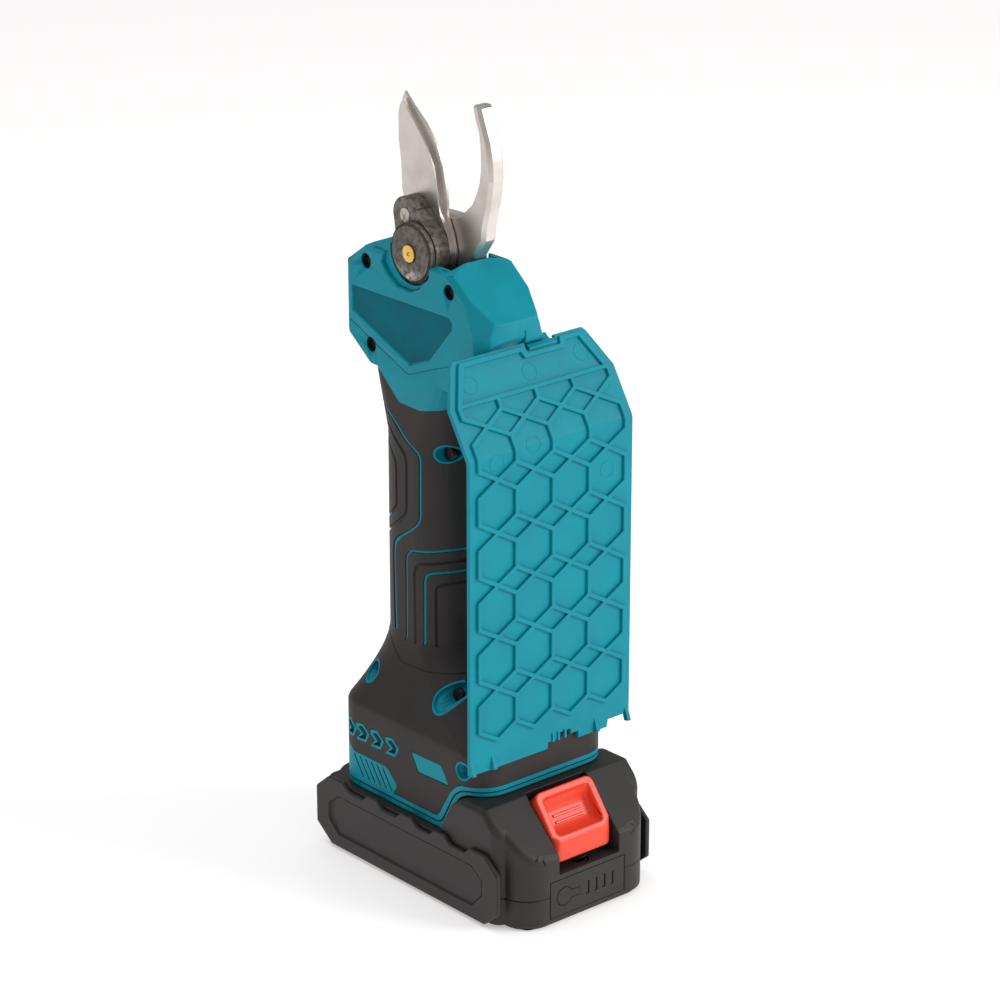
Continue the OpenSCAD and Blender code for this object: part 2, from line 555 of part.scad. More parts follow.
module pad_left() color(black) difference() {
    side(-pad_x, 2 - pad_x) polygon(pad_low);
    side(-pad_x - 1, 0.7 - pad_x) polygon(pad_panel);
}
function cell_y(i) = (i - (cells_n - 1) / 2) * (cell_d + 0.05) - 0.2;
module cells() color(teal) for (i = [0:cells_n - 1]) {
    rod_x(-32.5, 31.3, cell_y(i), 12.6, cell_d / 2);
    rod_x(31.2, 32.5, cell_y(i), 12.6, 3);
}
module cell_holder() color(black) for (x = [-27, 23]) difference() {
    box(x, x + 4, -48, 45.6, 2.6, 22.6);
    for (i = [0:cells_n - 1]) rod_x(x - 1, x + 5, cell_y(i), 12.6, cell_d / 2);
}
module battery_board() color(board) box(-21, 21, -40, 44, 22.6, 24);
module battery_terminals() color(copper) for (x = [-9, 0, 9], s = [-1, 1])
    box(s > 0 ? x + 0.7 : x - 1.1, s > 0 ? x + 1.1 : x - 0.7, 24, 40, 24, 31.6);
module battery_screws() color(dark_steel) for (p = pack_posts) {
    rod_z(1, 2.4, p[0], p[1], 2.6);
    rod_z(2.3, 20, p[0], p[1], 1.5);
}
module release_button() color(red) difference() {
    side(-14, 14) polygon(button_line);
    // scoop for the thumb
    side(-10.8, 10.8) polygon([[-44.4, 46.4], [-54, 33.6], [-49, 30.4], [-41.6, 40]]);
}
module release_spring() color(steel) translate([0, -52.6, seam_z + 1.7]) coil(2.2, 0.35, 4, 8.1);
module gauge_plate() color(black) difference() {
    box(-18.8, 17.2, pack_front + 0.1, pack_front + 1.6, 3.2, 17.4);
    gauge_button_hole(0.2);
    for (i = [0:3]) box(-1.4 + 3.95 * i, 3.95 * i, pack_front - 1, pack_front + 2, 7.7, 12.9);
}
module gauge_button_hole(g) along_y(pack_front - 1, pack_front + 3) {
    translate([-12, 10.3]) circle(3.7 + g, $fn = 8);
    translate([-12, 8.9 - g]) square([7.4, 2.8 + 2 * g]);
}
module gauge_button() color(black) intersection() {
    gauge_button_hole(0);
    box(-18, 0, pack_front + 0.1, pack_front + 0.7, 3, 18);
}
module gauge_leds() color(alloy) for (i = [0:3]) box(-1.3 + 3.95 * i, 3.95 * i - 0.1, pack_front + 0.6, pack_front + 1.6, 7.8, 12.8);

housing_left();
housing_right();
grip_left();
grip_right();
hand_guard();
fixed_blade();
moving_blade();
sector_gear();
drive_pin();
pivot_bolt();
pivot_nut();
grease_plug();
gear_frame();
blade_screws();
pinion();
pinion_bearing();
planet_1();
planet_2();
planet_3();
gear_case();
rotor();
motor();
trigger();
trigger_pin();
trigger_spring();
trigger_switch();
control_board();
power_leads();
terminal_block();
housing_screws();
battery_base();
battery_cover();
pad_left();
pad_right();
cells();
cell_holder();
battery_board();
battery_terminals();
battery_screws();
release_button();
release_spring();
gauge_plate();
gauge_button();
gauge_leds();
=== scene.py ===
"""Looks of the cordless pruning shears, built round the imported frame."""

import json
import logging
import math
from dataclasses import dataclass
from enum import Enum
from typing import Callable, Iterable, Sequence

import bmesh
import bpy
from mathutils import Matrix, Vector

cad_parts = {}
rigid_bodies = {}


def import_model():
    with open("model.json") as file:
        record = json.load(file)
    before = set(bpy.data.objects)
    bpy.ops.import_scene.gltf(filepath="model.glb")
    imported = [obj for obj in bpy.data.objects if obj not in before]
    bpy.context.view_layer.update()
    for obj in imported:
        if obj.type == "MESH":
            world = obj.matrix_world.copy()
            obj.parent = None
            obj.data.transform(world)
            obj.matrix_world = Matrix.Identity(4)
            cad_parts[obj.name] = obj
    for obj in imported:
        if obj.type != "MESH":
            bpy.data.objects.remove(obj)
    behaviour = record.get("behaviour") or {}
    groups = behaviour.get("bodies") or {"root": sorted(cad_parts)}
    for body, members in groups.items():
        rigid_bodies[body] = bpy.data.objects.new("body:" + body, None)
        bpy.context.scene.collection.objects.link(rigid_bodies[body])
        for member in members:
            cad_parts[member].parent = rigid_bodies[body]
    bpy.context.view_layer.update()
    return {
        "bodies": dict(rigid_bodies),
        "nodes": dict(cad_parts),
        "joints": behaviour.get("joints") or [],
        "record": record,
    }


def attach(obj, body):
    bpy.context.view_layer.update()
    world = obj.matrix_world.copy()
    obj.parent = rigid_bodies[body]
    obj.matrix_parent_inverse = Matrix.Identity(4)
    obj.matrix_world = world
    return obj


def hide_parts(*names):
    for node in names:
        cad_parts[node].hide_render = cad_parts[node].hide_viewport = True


log = logging.getLogger("shears")
MM = 0.001
PIVOT = (24.5, 234.5)  # the blade pivot's y and z, in millimetres
SMALL_GAP = 0.004  # points closer than this are joined, in millimetres
Point2 = tuple[float, float]
Point3 = tuple[float, float, float]
Colour = tuple[float, float, float]


class Body(Enum):
    """Rigid bodies of the frame that pieces ride on."""

    TOOL = "tool"
    BLADE = "blade"
    GUARD = "guard"
    BATTERY = "battery"
    LATCH = "latch_button"
    CHARGE = "charge_button"


class Slot(Enum):
    """Material slots of the record."""

    TEAL = "teal_plastic"
    RUBBER = "rubber"
    BLACK = "black_plastic"
    RED = "red_plastic"
    BLADE = "blade_steel"
    DARK = "dark_steel"
    GEAR = "gear_steel"
    MOTOR = "motor_steel"
    ALLOY = "alloy"
    BRASS = "brass"
    COPPER = "copper"
    BOARD = "circuit_board"
    CELL = "cell_wrap"
    LED = "led_window"


class Cut(Enum):
    """Ways to carve a piece with other shapes."""

    AWAY = "DIFFERENCE"
    COMMON = "INTERSECT"


# ---------------------------------------------------------------- shader groups


class Graph:
    """A node tree with short calls for adding and joining nodes."""

    def __init__(self, tree: bpy.types.NodeTree) -> None:
        """Keeps the tree that nodes are added to."""
        self.tree = tree

    def add(self, kind: str, **values: object) -> bpy.types.Node:
        """Adds a node.

        Args:
            kind: The node's type name, such as ShaderNodeTexNoise.
            values: Attributes of the node, or input sockets by name with _ for a space.

        Returns:
            The new node.
        """
        node = self.tree.nodes.new(kind)
        for name, value in values.items():
            if hasattr(node, name):
                setattr(node, name, value)
            else:
                node.inputs[name.replace("_", " ")].default_value = value
        return node

    def join(self, source: bpy.types.NodeSocket, target: bpy.types.NodeSocket) -> None:
        """Links one socket to another."""
        self.tree.links.new(source, target)

    def ramp(self, source: bpy.types.NodeSocket, low: float, high: float) -> bpy.types.NodeSocket:
        """Stretches a value between low and high to the range 0 to 1.

        Args:
            source: The value.
            low: The value that becomes 0.
            high: The value that becomes 1.

        Returns:
            The stretched value's socket.
        """
        node = self.add("ShaderNodeMapRange")
        node.inputs["From Min"].default_value = low
        node.inputs["From Max"].default_value = high
        self.join(source, node.inputs["Value"])
        return node.outputs["Result"]


def new_group(name: str, inputs: dict[str, float],
              outputs: Sequence[str]) -> tuple[Graph, bpy.types.Node, bpy.types.Node]:
    """Starts a shader node group.

    Args:
        name: The group's name.
        inputs: Input names with their default values.
        outputs: Output names.

    Returns:
        The group's graph, its input node and its output node.
    """
    tree = bpy.data.node_groups.new(name, "ShaderNodeTree")
    for label, value in inputs.items():
        tree.interface.new_socket(label, in_out="INPUT", socket_type="NodeSocketFloat").default_value = value
    for label in outputs:
        tree.interface.new_socket(label, in_out="OUTPUT", socket_type="NodeSocketFloat")
    graph = Graph(tree)
    return graph, graph.add("NodeGroupInput"), graph.add("NodeGroupOutput")


def moulded_grain_group() -> bpy.types.NodeTree:
    """Builds the fine spark-eroded texture of moulded plastic.

    Returns:
        A group with a Height output and a slow Mottle output.
    """
    graph, entry, leave = new_group("moulded_grain", {"Grain": 2200.0, "Mottle": 60.0}, ["Height", "Mottle"])
    place = graph.add("ShaderNodeTexCoord")
    grain = graph.add("ShaderNodeTexNoise", Detail=3.0, Roughness=0.7)
    slow = graph.add("ShaderNodeTexNoise", Detail=4.0, Roughness=0.6)
    for node, label in ((grain, "Grain"), (slow, "Mottle")):
        graph.join(place.outputs["Object"], node.inputs["Vector"])
        graph.join(entry.outputs[label], node.inputs["Scale"])
    graph.join(grain.outputs["Fac"], leave.inputs["Height"])
    graph.join(slow.outputs["Fac"], leave.inputs["Mottle"])
    return graph.tree


def dust_group() -> bpy.types.NodeTree:
    """Builds scattered dust specks and faint scuffs.

    Returns:
        A group with Specks and Scuffs outputs from 0 to 1.
    """
    graph, entry, leave = new_group("dust", {"Density": 700.0, "Amount": 0.5}, ["Specks", "Scuffs"])
    place = graph.add("ShaderNodeTexCoord")
    cells = graph.add("ShaderNodeTexVoronoi", feature="F1")
    patches = graph.add("ShaderNodeTexNoise", Scale=45.0, Detail=2.0)
    streaks = graph.add("ShaderNodeTexNoise", Scale=180.0, Detail=5.0, Distortion=1.4)
    for node in (cells, patches, streaks):
        graph.join(place.outputs["Object"], node.inputs["Vector"])
    graph.join(entry.outputs["Density"], cells.inputs["Scale"])
    near = graph.ramp(cells.outputs["Distance"], 0.13, 0.04)
    chosen = graph.ramp(cells.outputs["Color"], 0.72, 0.8)
    patch = graph.ramp(patches.outputs["Fac"], 0.5, 0.62)
    speck = graph.add("ShaderNodeMath", operation="MULTIPLY")
    kept = graph.add("ShaderNodeMath", operation="MULTIPLY")
    scaled = graph.add("ShaderNodeMath", operation="MULTIPLY")
    graph.join(near, speck.inputs[0])
    graph.join(chosen, speck.inputs[1])
    graph.join(speck.outputs[0], kept.inputs[0])
    graph.join(patch, kept.inputs[1])
    graph.join(kept.outputs[0], scaled.inputs[0])
    graph.join(entry.outputs["Amount"], scaled.inputs[1])
    graph.join(scaled.outputs[0], leave.inputs["Specks"])
    scuff = graph.ramp(streaks.outputs["Fac"], 0.6, 0.85)
    rub = graph.add("ShaderNodeMath", operation="MULTIPLY")
    graph.join(scuff, rub.inputs[0])
    graph.join(entry.outputs["Amount"], rub.inputs[1])
    graph.join(rub.outputs[0], leave.inputs["Scuffs"])
    return graph.tree


def brushing_group() -> bpy.types.NodeTree:
    """Builds the fine parallel lines of ground steel, and a slow stain pattern.

    Returns:
        A group with Lines and Stain outputs.
    """
    graph, entry, leave = new_group("brushing", {"Across": 900.0, "Along": 40.0}, ["Lines", "Stain"])
    place = graph.add("ShaderNodeTexCoord")
    parts = graph.add("ShaderNodeSeparateXYZ")
    graph.join(place.outputs["Object"], parts.inputs[0])
    joined = graph.add("ShaderNodeCombineXYZ")
    for axis, label in ((0, "Across"), (1, "Along"), (2, "Across")):
        scaled = graph.add("ShaderNodeMath", operation="MULTIPLY")
        graph.join(parts.outputs[axis], scaled.inputs[0])
        graph.join(entry.outputs[label], scaled.inputs[1])
        graph.join(scaled.outputs[0], joined.inputs[axis])
    lines = graph.add("ShaderNodeTexNoise", Scale=1.0, Detail=4.0, Roughness=0.65)
    stain = graph.add("ShaderNodeTexNoise", Scale=70.0, Detail=5.0)
    graph.join(joined.outputs[0], lines.inputs["Vector"])
    graph.join(place.outputs["Object"], stain.inputs["Vector"])
    graph.join(lines.outputs["Fac"], leave.inputs["Lines"])
    graph.join(stain.outputs["Fac"], leave.inputs["Stain"])
    return graph.tree


def edge_highlight_and_wear_group() -> bpy.types.NodeTree:
    """Builds a mask of the outer edges, broken up by noise, where metal is worn and where a painted highlight
    is laid.

    Returns:
        A group with an Edge output from 0 to 1.
    """
    graph, entry, leave = new_group("edge_highlight_and_wear", {"Start": 0.52, "Break": 320.0}, ["Edge"])
    shape = graph.add("ShaderNodeNewGeometry")
    place = graph.add("ShaderNodeTexCoord")
    noise = graph.add("ShaderNodeTexNoise", Detail=4.0)
    graph.join(place.outputs["Object"], noise.inputs["Vector"])
    graph.join(entry.outputs["Break"], noise.inputs["Scale"])
    sharp = graph.add("ShaderNodeMapRange")
    sharp.inputs["From Max"].default_value = 0.6
    graph.join(shape.outputs["Pointiness"], sharp.inputs["Value"])
    graph.join(entry.outputs["Start"], sharp.inputs["From Min"])
    broken = graph.add("ShaderNodeMath", operation="MULTIPLY", use_clamp=True)
    graph.join(sharp.outputs[0], broken.inputs[0])
    graph.join(graph.ramp(noise.outputs["Fac"], 0.3, 0.6), broken.inputs[1])
    graph.join(broken.outputs[0], leave.inputs["Edge"])
    return graph.tree


@dataclass
class Groups:
    """The shader groups that the finishes share."""

    grain: bpy.types.NodeTree
    dust: bpy.types.NodeTree
    brushing: bpy.types.NodeTree
    highlight_and_wear: bpy.types.NodeTree

    @classmethod
    def build(cls) -> "Groups":
        """Builds each group once."""
        return cls(moulded_grain_group(), dust_group(), brushing_group(), edge_highlight_and_wear_group())


# ---------------------------------------------------------------- finishes


def place_group(graph: Graph, tree: bpy.types.NodeTree, **values: float) -> bpy.types.Node:
    """Puts a shader group in a material.

    Args:
        graph: The material's graph.
        tree: The group.
        values: The group's input values by name.

    Returns:
        The group node.
    """
    node = graph.add("ShaderNodeGroup", node_tree=tree)
    for label, value in values.items():
        node.inputs[label].default_value = value
    return node


def mix_colour(graph: Graph, mask: bpy.types.NodeSocket, first: object, second: object) -> bpy.types.NodeSocket:
    """Mixes two colours by a mask.

    Args:
        graph: The material's graph.
        mask: Where the second colour shows.
        first: A colour or a colour socket.
        second: A colour or a colour socket.

    Returns:
        The mixed colour's socket.
    """
    node = graph.add("ShaderNodeMix", data_type="RGBA")
    graph.join(mask, node.inputs[0])
    for socket, value in ((node.inputs[6], first), (node.inputs[7], second)):
        if isinstance(value, bpy.types.NodeSocket):
            graph.join(value, socket)
        else:
            socket.default_value = (*value, 1.0)
    return node.outputs[2]


def start_material(name: str) -> tuple[bpy.types.Material, Graph, bpy.types.Node]:
    """Starts a node material.

    Args:
        name: The material's name.

    Returns:
        The material, its graph and its shader.
    """
    material = bpy.data.materials.new(name)
    material.use_nodes = True
    graph = Graph(material.node_tree)
    return material, graph, material.node_tree.nodes["Principled BSDF"]


def bump_into(graph: Graph, shader: bpy.types.Node, height: bpy.types.NodeSocket, strength: float,
              depth: float) -> None:
    """Feeds a height into the shader's normal.

    Args:
        graph: The material's graph.
        shader: The material's shader.
        height: The height socket.
        strength: The bump's strength.
        depth: The bump's depth in millimetres.
    """
    bump = graph.add("ShaderNodeBump", Strength=strength, Distance=depth * MM)
    graph.join(height, bump.inputs["Height"])
    graph.join(bump.outputs["Normal"], shader.inputs["Normal"])


@dataclass(frozen=True)
class Moulded:
    """A moulded plastic or rubber finish."""

    name: str
    colour: Colour
    tint: Colour
    roughness: float = 0.45
    grain: float = 2600.0
    depth: float = 0.05
    specular: float = 0.45
    dust: float = 0.3
    dust_colour: Colour = (0.55, 0.5, 0.47)
    sheen: float = 0.0

    def material(self, groups: Groups) -> bpy.types.Material:
        """Builds the material.

        Args:
            groups: The shared shader groups.

        Returns:
            The material.
        """
        material, graph, shader = start_material(self.name)
        grain = place_group(graph, groups.grain, Grain=self.grain, Mottle=55.0)
        dust = place_group(graph, groups.dust, Density=650.0, Amount=self.dust)
        mottled = graph.ramp(grain.outputs["Mottle"], 0.35, 0.65)
        base = mix_colour(graph, mottled, self.colour, self.tint)
        specked = mix_colour(graph, dust.outputs["Specks"], base, self.dust_colour)
        graph.join(specked, shader.inputs["Base Color"])
        rough = graph.add("ShaderNodeMapRange")
        rough.inputs["To Min"].default_value = self.roughness - 0.05
        rough.inputs["To Max"].default_value = self.roughness + 0.08
        graph.join(grain.outputs["Mottle"], rough.inputs["Value"])
        graph.join(rough.outputs[0], shader.inputs["Roughness"])
        shader.inputs["Specular IOR Level"].default_value = self.specular
        shader.inputs["Sheen Weight"].default_value = self.sheen
        bump_into(graph, shader, grain.outputs["Height"], 0.35, self.depth)
        return material


@dataclass(frozen=True)
class GroundSteel:
    """Ground or machined steel with directional lines."""

    name: str
    colour: Colour
    stain: Colour
    roughness: float = 0.34
    across: float = 900.0
    along: float = 40.0
    depth: float = 0.02

    def material(self, groups: Groups) -> bpy.types.Material:
        """Builds the material.

        Args:
            groups: The shared shader groups.

        Returns:
            The material.
        """
        material, graph, shader = start_material(self.name)
        lines = place_group(graph, groups.brushing, Across=self.across, Along=self.along)
        stained = graph.ramp(lines.outputs["Stain"], 0.45, 0.7)
        base = mix_colour(graph, stained, self.colour, self.stain)
        graph.join(base, shader.inputs["Base Color"])
        shader.inputs["Metallic"].default_value = 1.0
        rough = graph.add("ShaderNodeMapRange")
        rough.inputs["To Min"].default_value = self.roughness - 0.08
        rough.inputs["To Max"].default_value = self.roughness + 0.12
        graph.join(lines.outputs["Lines"], rough.inputs["Value"])
        graph.join(rough.outputs[0], shader.inputs["Roughness"])
        bump_into(graph, shader, lines.outputs["Lines"], 0.3, self.depth)
        return material


@dataclass(frozen=True)
class CastSteel:
    """Dark phosphated steel with a pitted skin, and edges made lighter and glossier as wear and as painted
    highlight.
    """

    name: str
    colour: Colour
    bright: Colour
    roughness: float = 0.5
    pits: float = 1500.0
    depth: float = 0.12

    def material(self, groups: Groups) -> bpy.types.Material:
        """Builds the material.

        Args:
            groups: The shared shader groups.

        Returns:
            The material.
        """
        material, graph, shader = start_material(self.name)
        grain = place_group(graph, groups.grain, Grain=self.pits, Mottle=130.0)
        highlight_and_wear = place_group(graph, groups.highlight_and_wear, Start=0.51, Break=500.0)
        sparkle = graph.ramp(grain.outputs["Height"], 0.56, 0.7)
        base = mix_colour(graph, sparkle, self.colour, tuple(c * 2.2 for c in self.colour))
        # lighter, glossier edges from the edge mask: partly wear, partly painted highlight
        highlighted_and_worn = mix_colour(graph, highlight_and_wear.outputs["Edge"], base, self.bright)
        graph.join(highlighted_and_worn, shader.inputs["Base Color"])
        shader.inputs["Metallic"].default_value = 0.85
        rough = graph.add("ShaderNodeMapRange")
        rough.inputs["To Min"].default_value = self.roughness + 0.1
        rough.inputs["To Max"].default_value = self.roughness - 0.16
        graph.join(highlight_and_wear.outputs["Edge"], rough.inputs["Value"])
        graph.join(rough.outputs[0], shader.inputs["Roughness"])
        bump_into(graph, shader, grain.outputs["Height"], 0.4, self.depth)
        return material


Finish = Moulded | GroundSteel | CastSteel

FINISHES: dict[Slot, Finish] = {
    Slot.TEAL: Moulded("teal_moulded", (0.0, 0.245, 0.32), (0.0, 0.275, 0.355), 0.5, 2400.0, 0.05,
                       specular=0.2, dust=0.25, dust_colour=(0.1, 0.36, 0.42)),
    Slot.RUBBER: Moulded("soft_black_rubber", (0.024, 0.0185, 0.0172), (0.03, 0.0235, 0.022), 0.62, 1900.0,
                         0.08, specular=0.35, dust=0.35, sheen=0.05),
    Slot.BLACK: Moulded("black_battery_plastic", (0.019, 0.0155, 0.0148), (0.025, 0.021, 0.0195), 0.5,
                        2100.0, 0.09, specular=0.4, dust=0.3),
    Slot.RED: Moulded("orange_red_plastic", (0.86, 0.052, 0.018), (0.9, 0.07, 0.024), 0.34, 2600.0, 0.015,
                      specular=0.5, dust=0.1),
    Slot.BLADE: GroundSteel("ground_blade_steel", (0.66, 0.61, 0.57), (0.55, 0.5, 0.46), 0.36),
    Slot.DARK: CastSteel("phosphated_steel", (0.085, 0.073, 0.066), (0.5, 0.45, 0.4)),
    Slot.GEAR: GroundSteel("machined_gear_steel", (0.55, 0.53, 0.51), (0.42, 0.4, 0.38), 0.3, 500.0, 500.0),
    Slot.MOTOR: GroundSteel("zinc_plated_can", (0.42, 0.42, 0.43), (0.34, 0.34, 0.35), 0.4, 300.0, 300.0),
    Slot.ALLOY: GroundSteel("die_cast_alloy", (0.58, 0.58, 0.59), (0.5, 0.5, 0.5), 0.48, 700.0, 700.0),
    Slot.BRASS: GroundSteel("turned_brass", (0.83, 0.52, 0.13), (0.7, 0.42, 0.1), 0.28, 600.0, 600.0),
    Slot.COPPER: GroundSteel("drawn_copper", (0.75, 0.4, 0.24), (0.62, 0.32, 0.18), 0.32, 600.0, 600.0),
    Slot.BOARD: Moulded("green_circuit_board", (0.01, 0.11, 0.05), (0.014, 0.14, 0.06), 0.3, 900.0, 0.03),
    Slot.CELL: Moulded("cell_sleeve", (0.02, 0.2, 0.32), (0.03, 0.23, 0.36), 0.3, 400.0, 0.02),
    Slot.LED: Moulded("window_insert", (0.014, 0.012, 0.012), (0.02, 0.018, 0.018), 0.25, 900.0, 0.01),
}

# painted shade: a dark teal laid in narrow grooves and screw holes so they read as shaded
SHADOW = Moulded("groove_shade", (0.0, 0.018, 0.024), (0.0, 0.024, 0.03), 0.7, 2400.0, 0.03, 0.1, 0.05)
PANEL_SHEET = Moulded("dark_panel_sheet", (0.0, 0.11, 0.155), (0.0, 0.14, 0.19), 0.6, 2400.0, 0.06, 0.1,
                      dust=0.9, dust_colour=(0.1, 0.3, 0.36))
BLACK_OXIDE = CastSteel("black_oxide_screws", (0.012, 0.011, 0.011), (0.05, 0.045, 0.042))
OXIDE_NODES = ("housing_screws", "release_spring", "battery_screws")


class Paint:
    """Makes each finish's material once and gives it out by slot."""

    def __init__(self) -> None:
        """Builds the shared groups."""
        self.groups = Groups.build()
        self.made: dict[object, bpy.types.Material] = {}

    def of(self, finish: Slot | Finish) -> bpy.types.Material:
        """Gives a material.

        Args:
            finish: A slot of the record, or a finish of its own.

        Returns:
            The material, built on first use.
        """
        if finish not in self.made:
            wanted = FINISHES[finish] if isinstance(finish, Slot) else finish
            self.made[finish] = wanted.material(self.groups)
        return self.made[finish]


# ---------------------------------------------------------------- mesh helpers


def to_object(bm: bmesh.types.BMesh, name: str) -> bpy.types.Object:
    """Turns a bmesh into an object at the origin.

    Args:
        bm: The mesh, in metres in the row frame. It is freed.
        name: The object's name.

    Returns:
        The object.
    """
    mesh = bpy.data.meshes.new(name)
    bm.to_mesh(mesh)
    bm.free()
    piece = bpy.data.objects.new(name, mesh)
    bpy.context.scene.collection.objects.link(piece)
    return piece


def shade(piece: bpy.types.Object, angle: float = 32.0) -> None:
    """Shades a piece smooth, with edges over the angle kept sharp.

    Args:
        piece: The object.
        angle: The angle in degrees.
    """
    piece.data.polygons.foreach_set("use_smooth", [True] * len(piece.data.polygons))
    piece.data.set_sharp_from_angle(angle=math.radians(angle))


def round_edges(piece: bpy.types.Object, width: float, segments: int = 2, angle: float = 30.0) -> None:
    """Rounds a piece's edges with a bevel modifier.

    Args:
        piece: The object.
        width: The bevel's width in millimetres.
        segments: Steps across the bevel.
        angle: Edges sharper than this many degrees are rounded.
    """
    bevel = piece.modifiers.new("edges", "BEVEL")
    bevel.width = width * MM
    bevel.segments = segments
    bevel.limit_method = "ANGLE"
    bevel.angle_limit = math.radians(angle)
    bevel.use_clamp_overlap = False
    bevel.harden_normals = True


def bake_modifiers(piece: bpy.types.Object) -> None:
    """Applies every modifier of a piece to its mesh.

    Args:
        piece: The object.
    """
    graph = bpy.context.evaluated_depsgraph_get()
    graph.update()
    mesh = bpy.data.meshes.new_from_object(piece.evaluated_get(graph))
    piece.modifiers.clear()
    piece.data = mesh


def outline(points: Sequence[Point2], place: Callable[[float, float], tuple[float, float, float]],
            depth: tuple[float, float, float]) -> bmesh.types.BMesh:
    """Extrudes a flat outline.

    Args:
        points: The outline's corners in millimetres.
        place: Turns a corner into a point in the row frame, in millimetres.
        depth: The extrusion in millimetres.

    Returns:
        A closed bmesh in metres with its faces outwards.
    """
    bm = bmesh.new()
    corners = [bm.verts.new(Vector(place(a, b)) * MM) for a, b in points]
    face = bm.faces.new(corners)
    grown = bmesh.ops.extrude_face_region(bm, geom=[face])
    moved = [g for g in grown["geom"] if isinstance(g, bmesh.types.BMVert)]
    bmesh.ops.translate(bm, verts=moved, vec=Vector(depth) * MM)
    bmesh.ops.recalc_face_normals(bm, faces=bm.faces)
    return bm


def slab_x(points: Sequence[Point2], x0: float, x1: float) -> bmesh.types.BMesh:
    """Extrudes an outline of y and z from x0 to x1, in millimetres."""
    return outline(points, lambda y, z: (x0, y, z), (x1 - x0, 0, 0))


def slab_y(points: Sequence[Point2], y0: float, y1: float) -> bmesh.types.BMesh:
    """Extrudes an outline of x and z from y0 to y1, in millimetres."""
    return outline(points, lambda x, z: (x, y0, z), (0, y1 - y0, 0))


def tube(points: Iterable[Sequence[float]], radius: float, name: str, closed: bool = False) -> bpy.types.Object:
    """Sweeps a round section along points.

    Args:
        points: Points in the row frame, in millimetres.
        radius: The section's radius in millimetres.
        name: The object's name.
        closed: Whether the path is a loop.

    Returns:
        A mesh object.
    """
    curve = bpy.data.curves.new(name, "CURVE")
    curve.dimensions = "3D"
    curve.bevel_depth = radius * MM
    curve.bevel_resolution = 1
    curve.use_fill_caps = True
    spline = curve.splines.new("POLY")
    path = [Vector(p) * MM for p in points]
    spline.points.add(len(path) - 1)
    for spot, p in zip(spline.points, path):
        spot.co = (*p, 1.0)
    spline.use_cyclic_u = closed
    holder = bpy.data.objects.new(name, curve)
    bpy.context.scene.collection.objects.link(holder)
    bpy.context.view_layer.update()
    bm = bmesh.new()
    bm.from_mesh(bpy.data.meshes.new_from_object(holder))
    bpy.data.objects.remove(holder)
    bmesh.ops.remove_doubles(bm, verts=bm.verts, dist=0.01 * MM)
    bmesh.ops.recalc_face_normals(bm, faces=bm.faces)
    return to_object(bm, name)


def rod(name: str, start: Sequence[float], end: Sequence[float], radius: float,
        segments: int = 40) -> bpy.types.Object:
    """Builds a round rod between two points.

    Args:
        name: The object's name.
        start: One end in millimetres.
        end: The other end in millimetres.
        radius: The radius in millimetres.
        segments: Steps round it.

    Returns:
        The object.
    """
    bm = bmesh.new()
    first, last = Vector(start) * MM, Vector(end) * MM
    along = last - first
    place = Matrix.Translation((first + last) / 2) @ along.to_track_quat("Z", "Y").to_matrix().to_4x4()
    bmesh.ops.create_cone(bm, cap_ends=True, segments=segments, radius1=radius * MM, radius2=radius * MM,
                          depth=along.length, matrix=place)
    return to_object(bm, name)


def joined(parts: Iterable[bpy.types.Object], name: str) -> bpy.types.Object:
    """Joins the meshes of objects into one object, and removes the objects.

    Args:
        parts: The objects, in the order that their meshes are added.
        name: The new object's name.

    Returns:
        The new object.
    """
    bm = bmesh.new()
    for part in parts:
        bm.from_mesh(part.data)
        bpy.data.objects.remove(part)
    return to_object(bm, name)


def carve(piece: bpy.types.Object, cutters: Sequence[bpy.types.Object], cut: Cut = Cut.AWAY) -> None:
    """Carves a piece with other shapes, and removes the shapes.

    Args:
        piece: The object that is changed.
        cutters: The shapes.
        cut: Whether the shapes are cut away, or only what lies inside them stays.
    """
    for cutter in cutters:
        change = piece.modifiers.new("carve", "BOOLEAN")
        change.operation = cut.value
        change.solver = "EXACT"
        change.object = cutter
    bake_modifiers(piece)
    for cutter in cutters:
        bpy.data.objects.remove(cutter)


def merged_copy(frame: dict, node: str) -> bpy.types.Object:
    """Copies a CAD node with its triangles joined and its flat faces made whole.

    Args:
        frame: The loaded frame.
        node: The CAD node's name.

    Returns:
        The copy.
    """
    bm = bmesh.new()
    bm.from_mesh(frame["nodes"][node].data)
    bmesh.ops.remove_doubles(bm, verts=bm.verts, dist=SMALL_GAP * MM)
    bmesh.ops.dissolve_limit(bm, angle_limit=math.radians(0.6), verts=bm.verts, edges=bm.edges)
    return to_object(bm, node + "_look")


def round_chosen(piece: bpy.types.Object, width: float, segments: int,
                 chosen: Callable[[Vector, Vector], bool]) -> None:
    """Rounds the sharp convex edges whose two ends pass a test.

    Args:
        piece: The object.
        width: Width of the rounding in millimetres.
        segments: Steps across the rounding.
        chosen: Test of an edge's ends, given in millimetres.
    """
    bm = bmesh.new()
    bm.from_mesh(piece.data)
    bmesh.ops.triangulate(bm, faces=[f for f in bm.faces if len(f.verts) > 4])
    edges = [e for e in bm.edges if e.is_manifold and e.is_convex and e.calc_face_angle(0.0) > math.radians(25)
             and chosen(e.verts[0].co / MM, e.verts[1].co / MM)]
    bmesh.ops.bevel(bm, geom=edges, offset=width * MM, offset_type="OFFSET", segments=segments, profile=0.5,
                    affect="EDGES", clamp_overlap=False)
    bmesh.ops.remove_doubles(bm, verts=bm.verts, dist=SMALL_GAP * MM)
    bm.to_mesh(piece.data)
    bm.free()


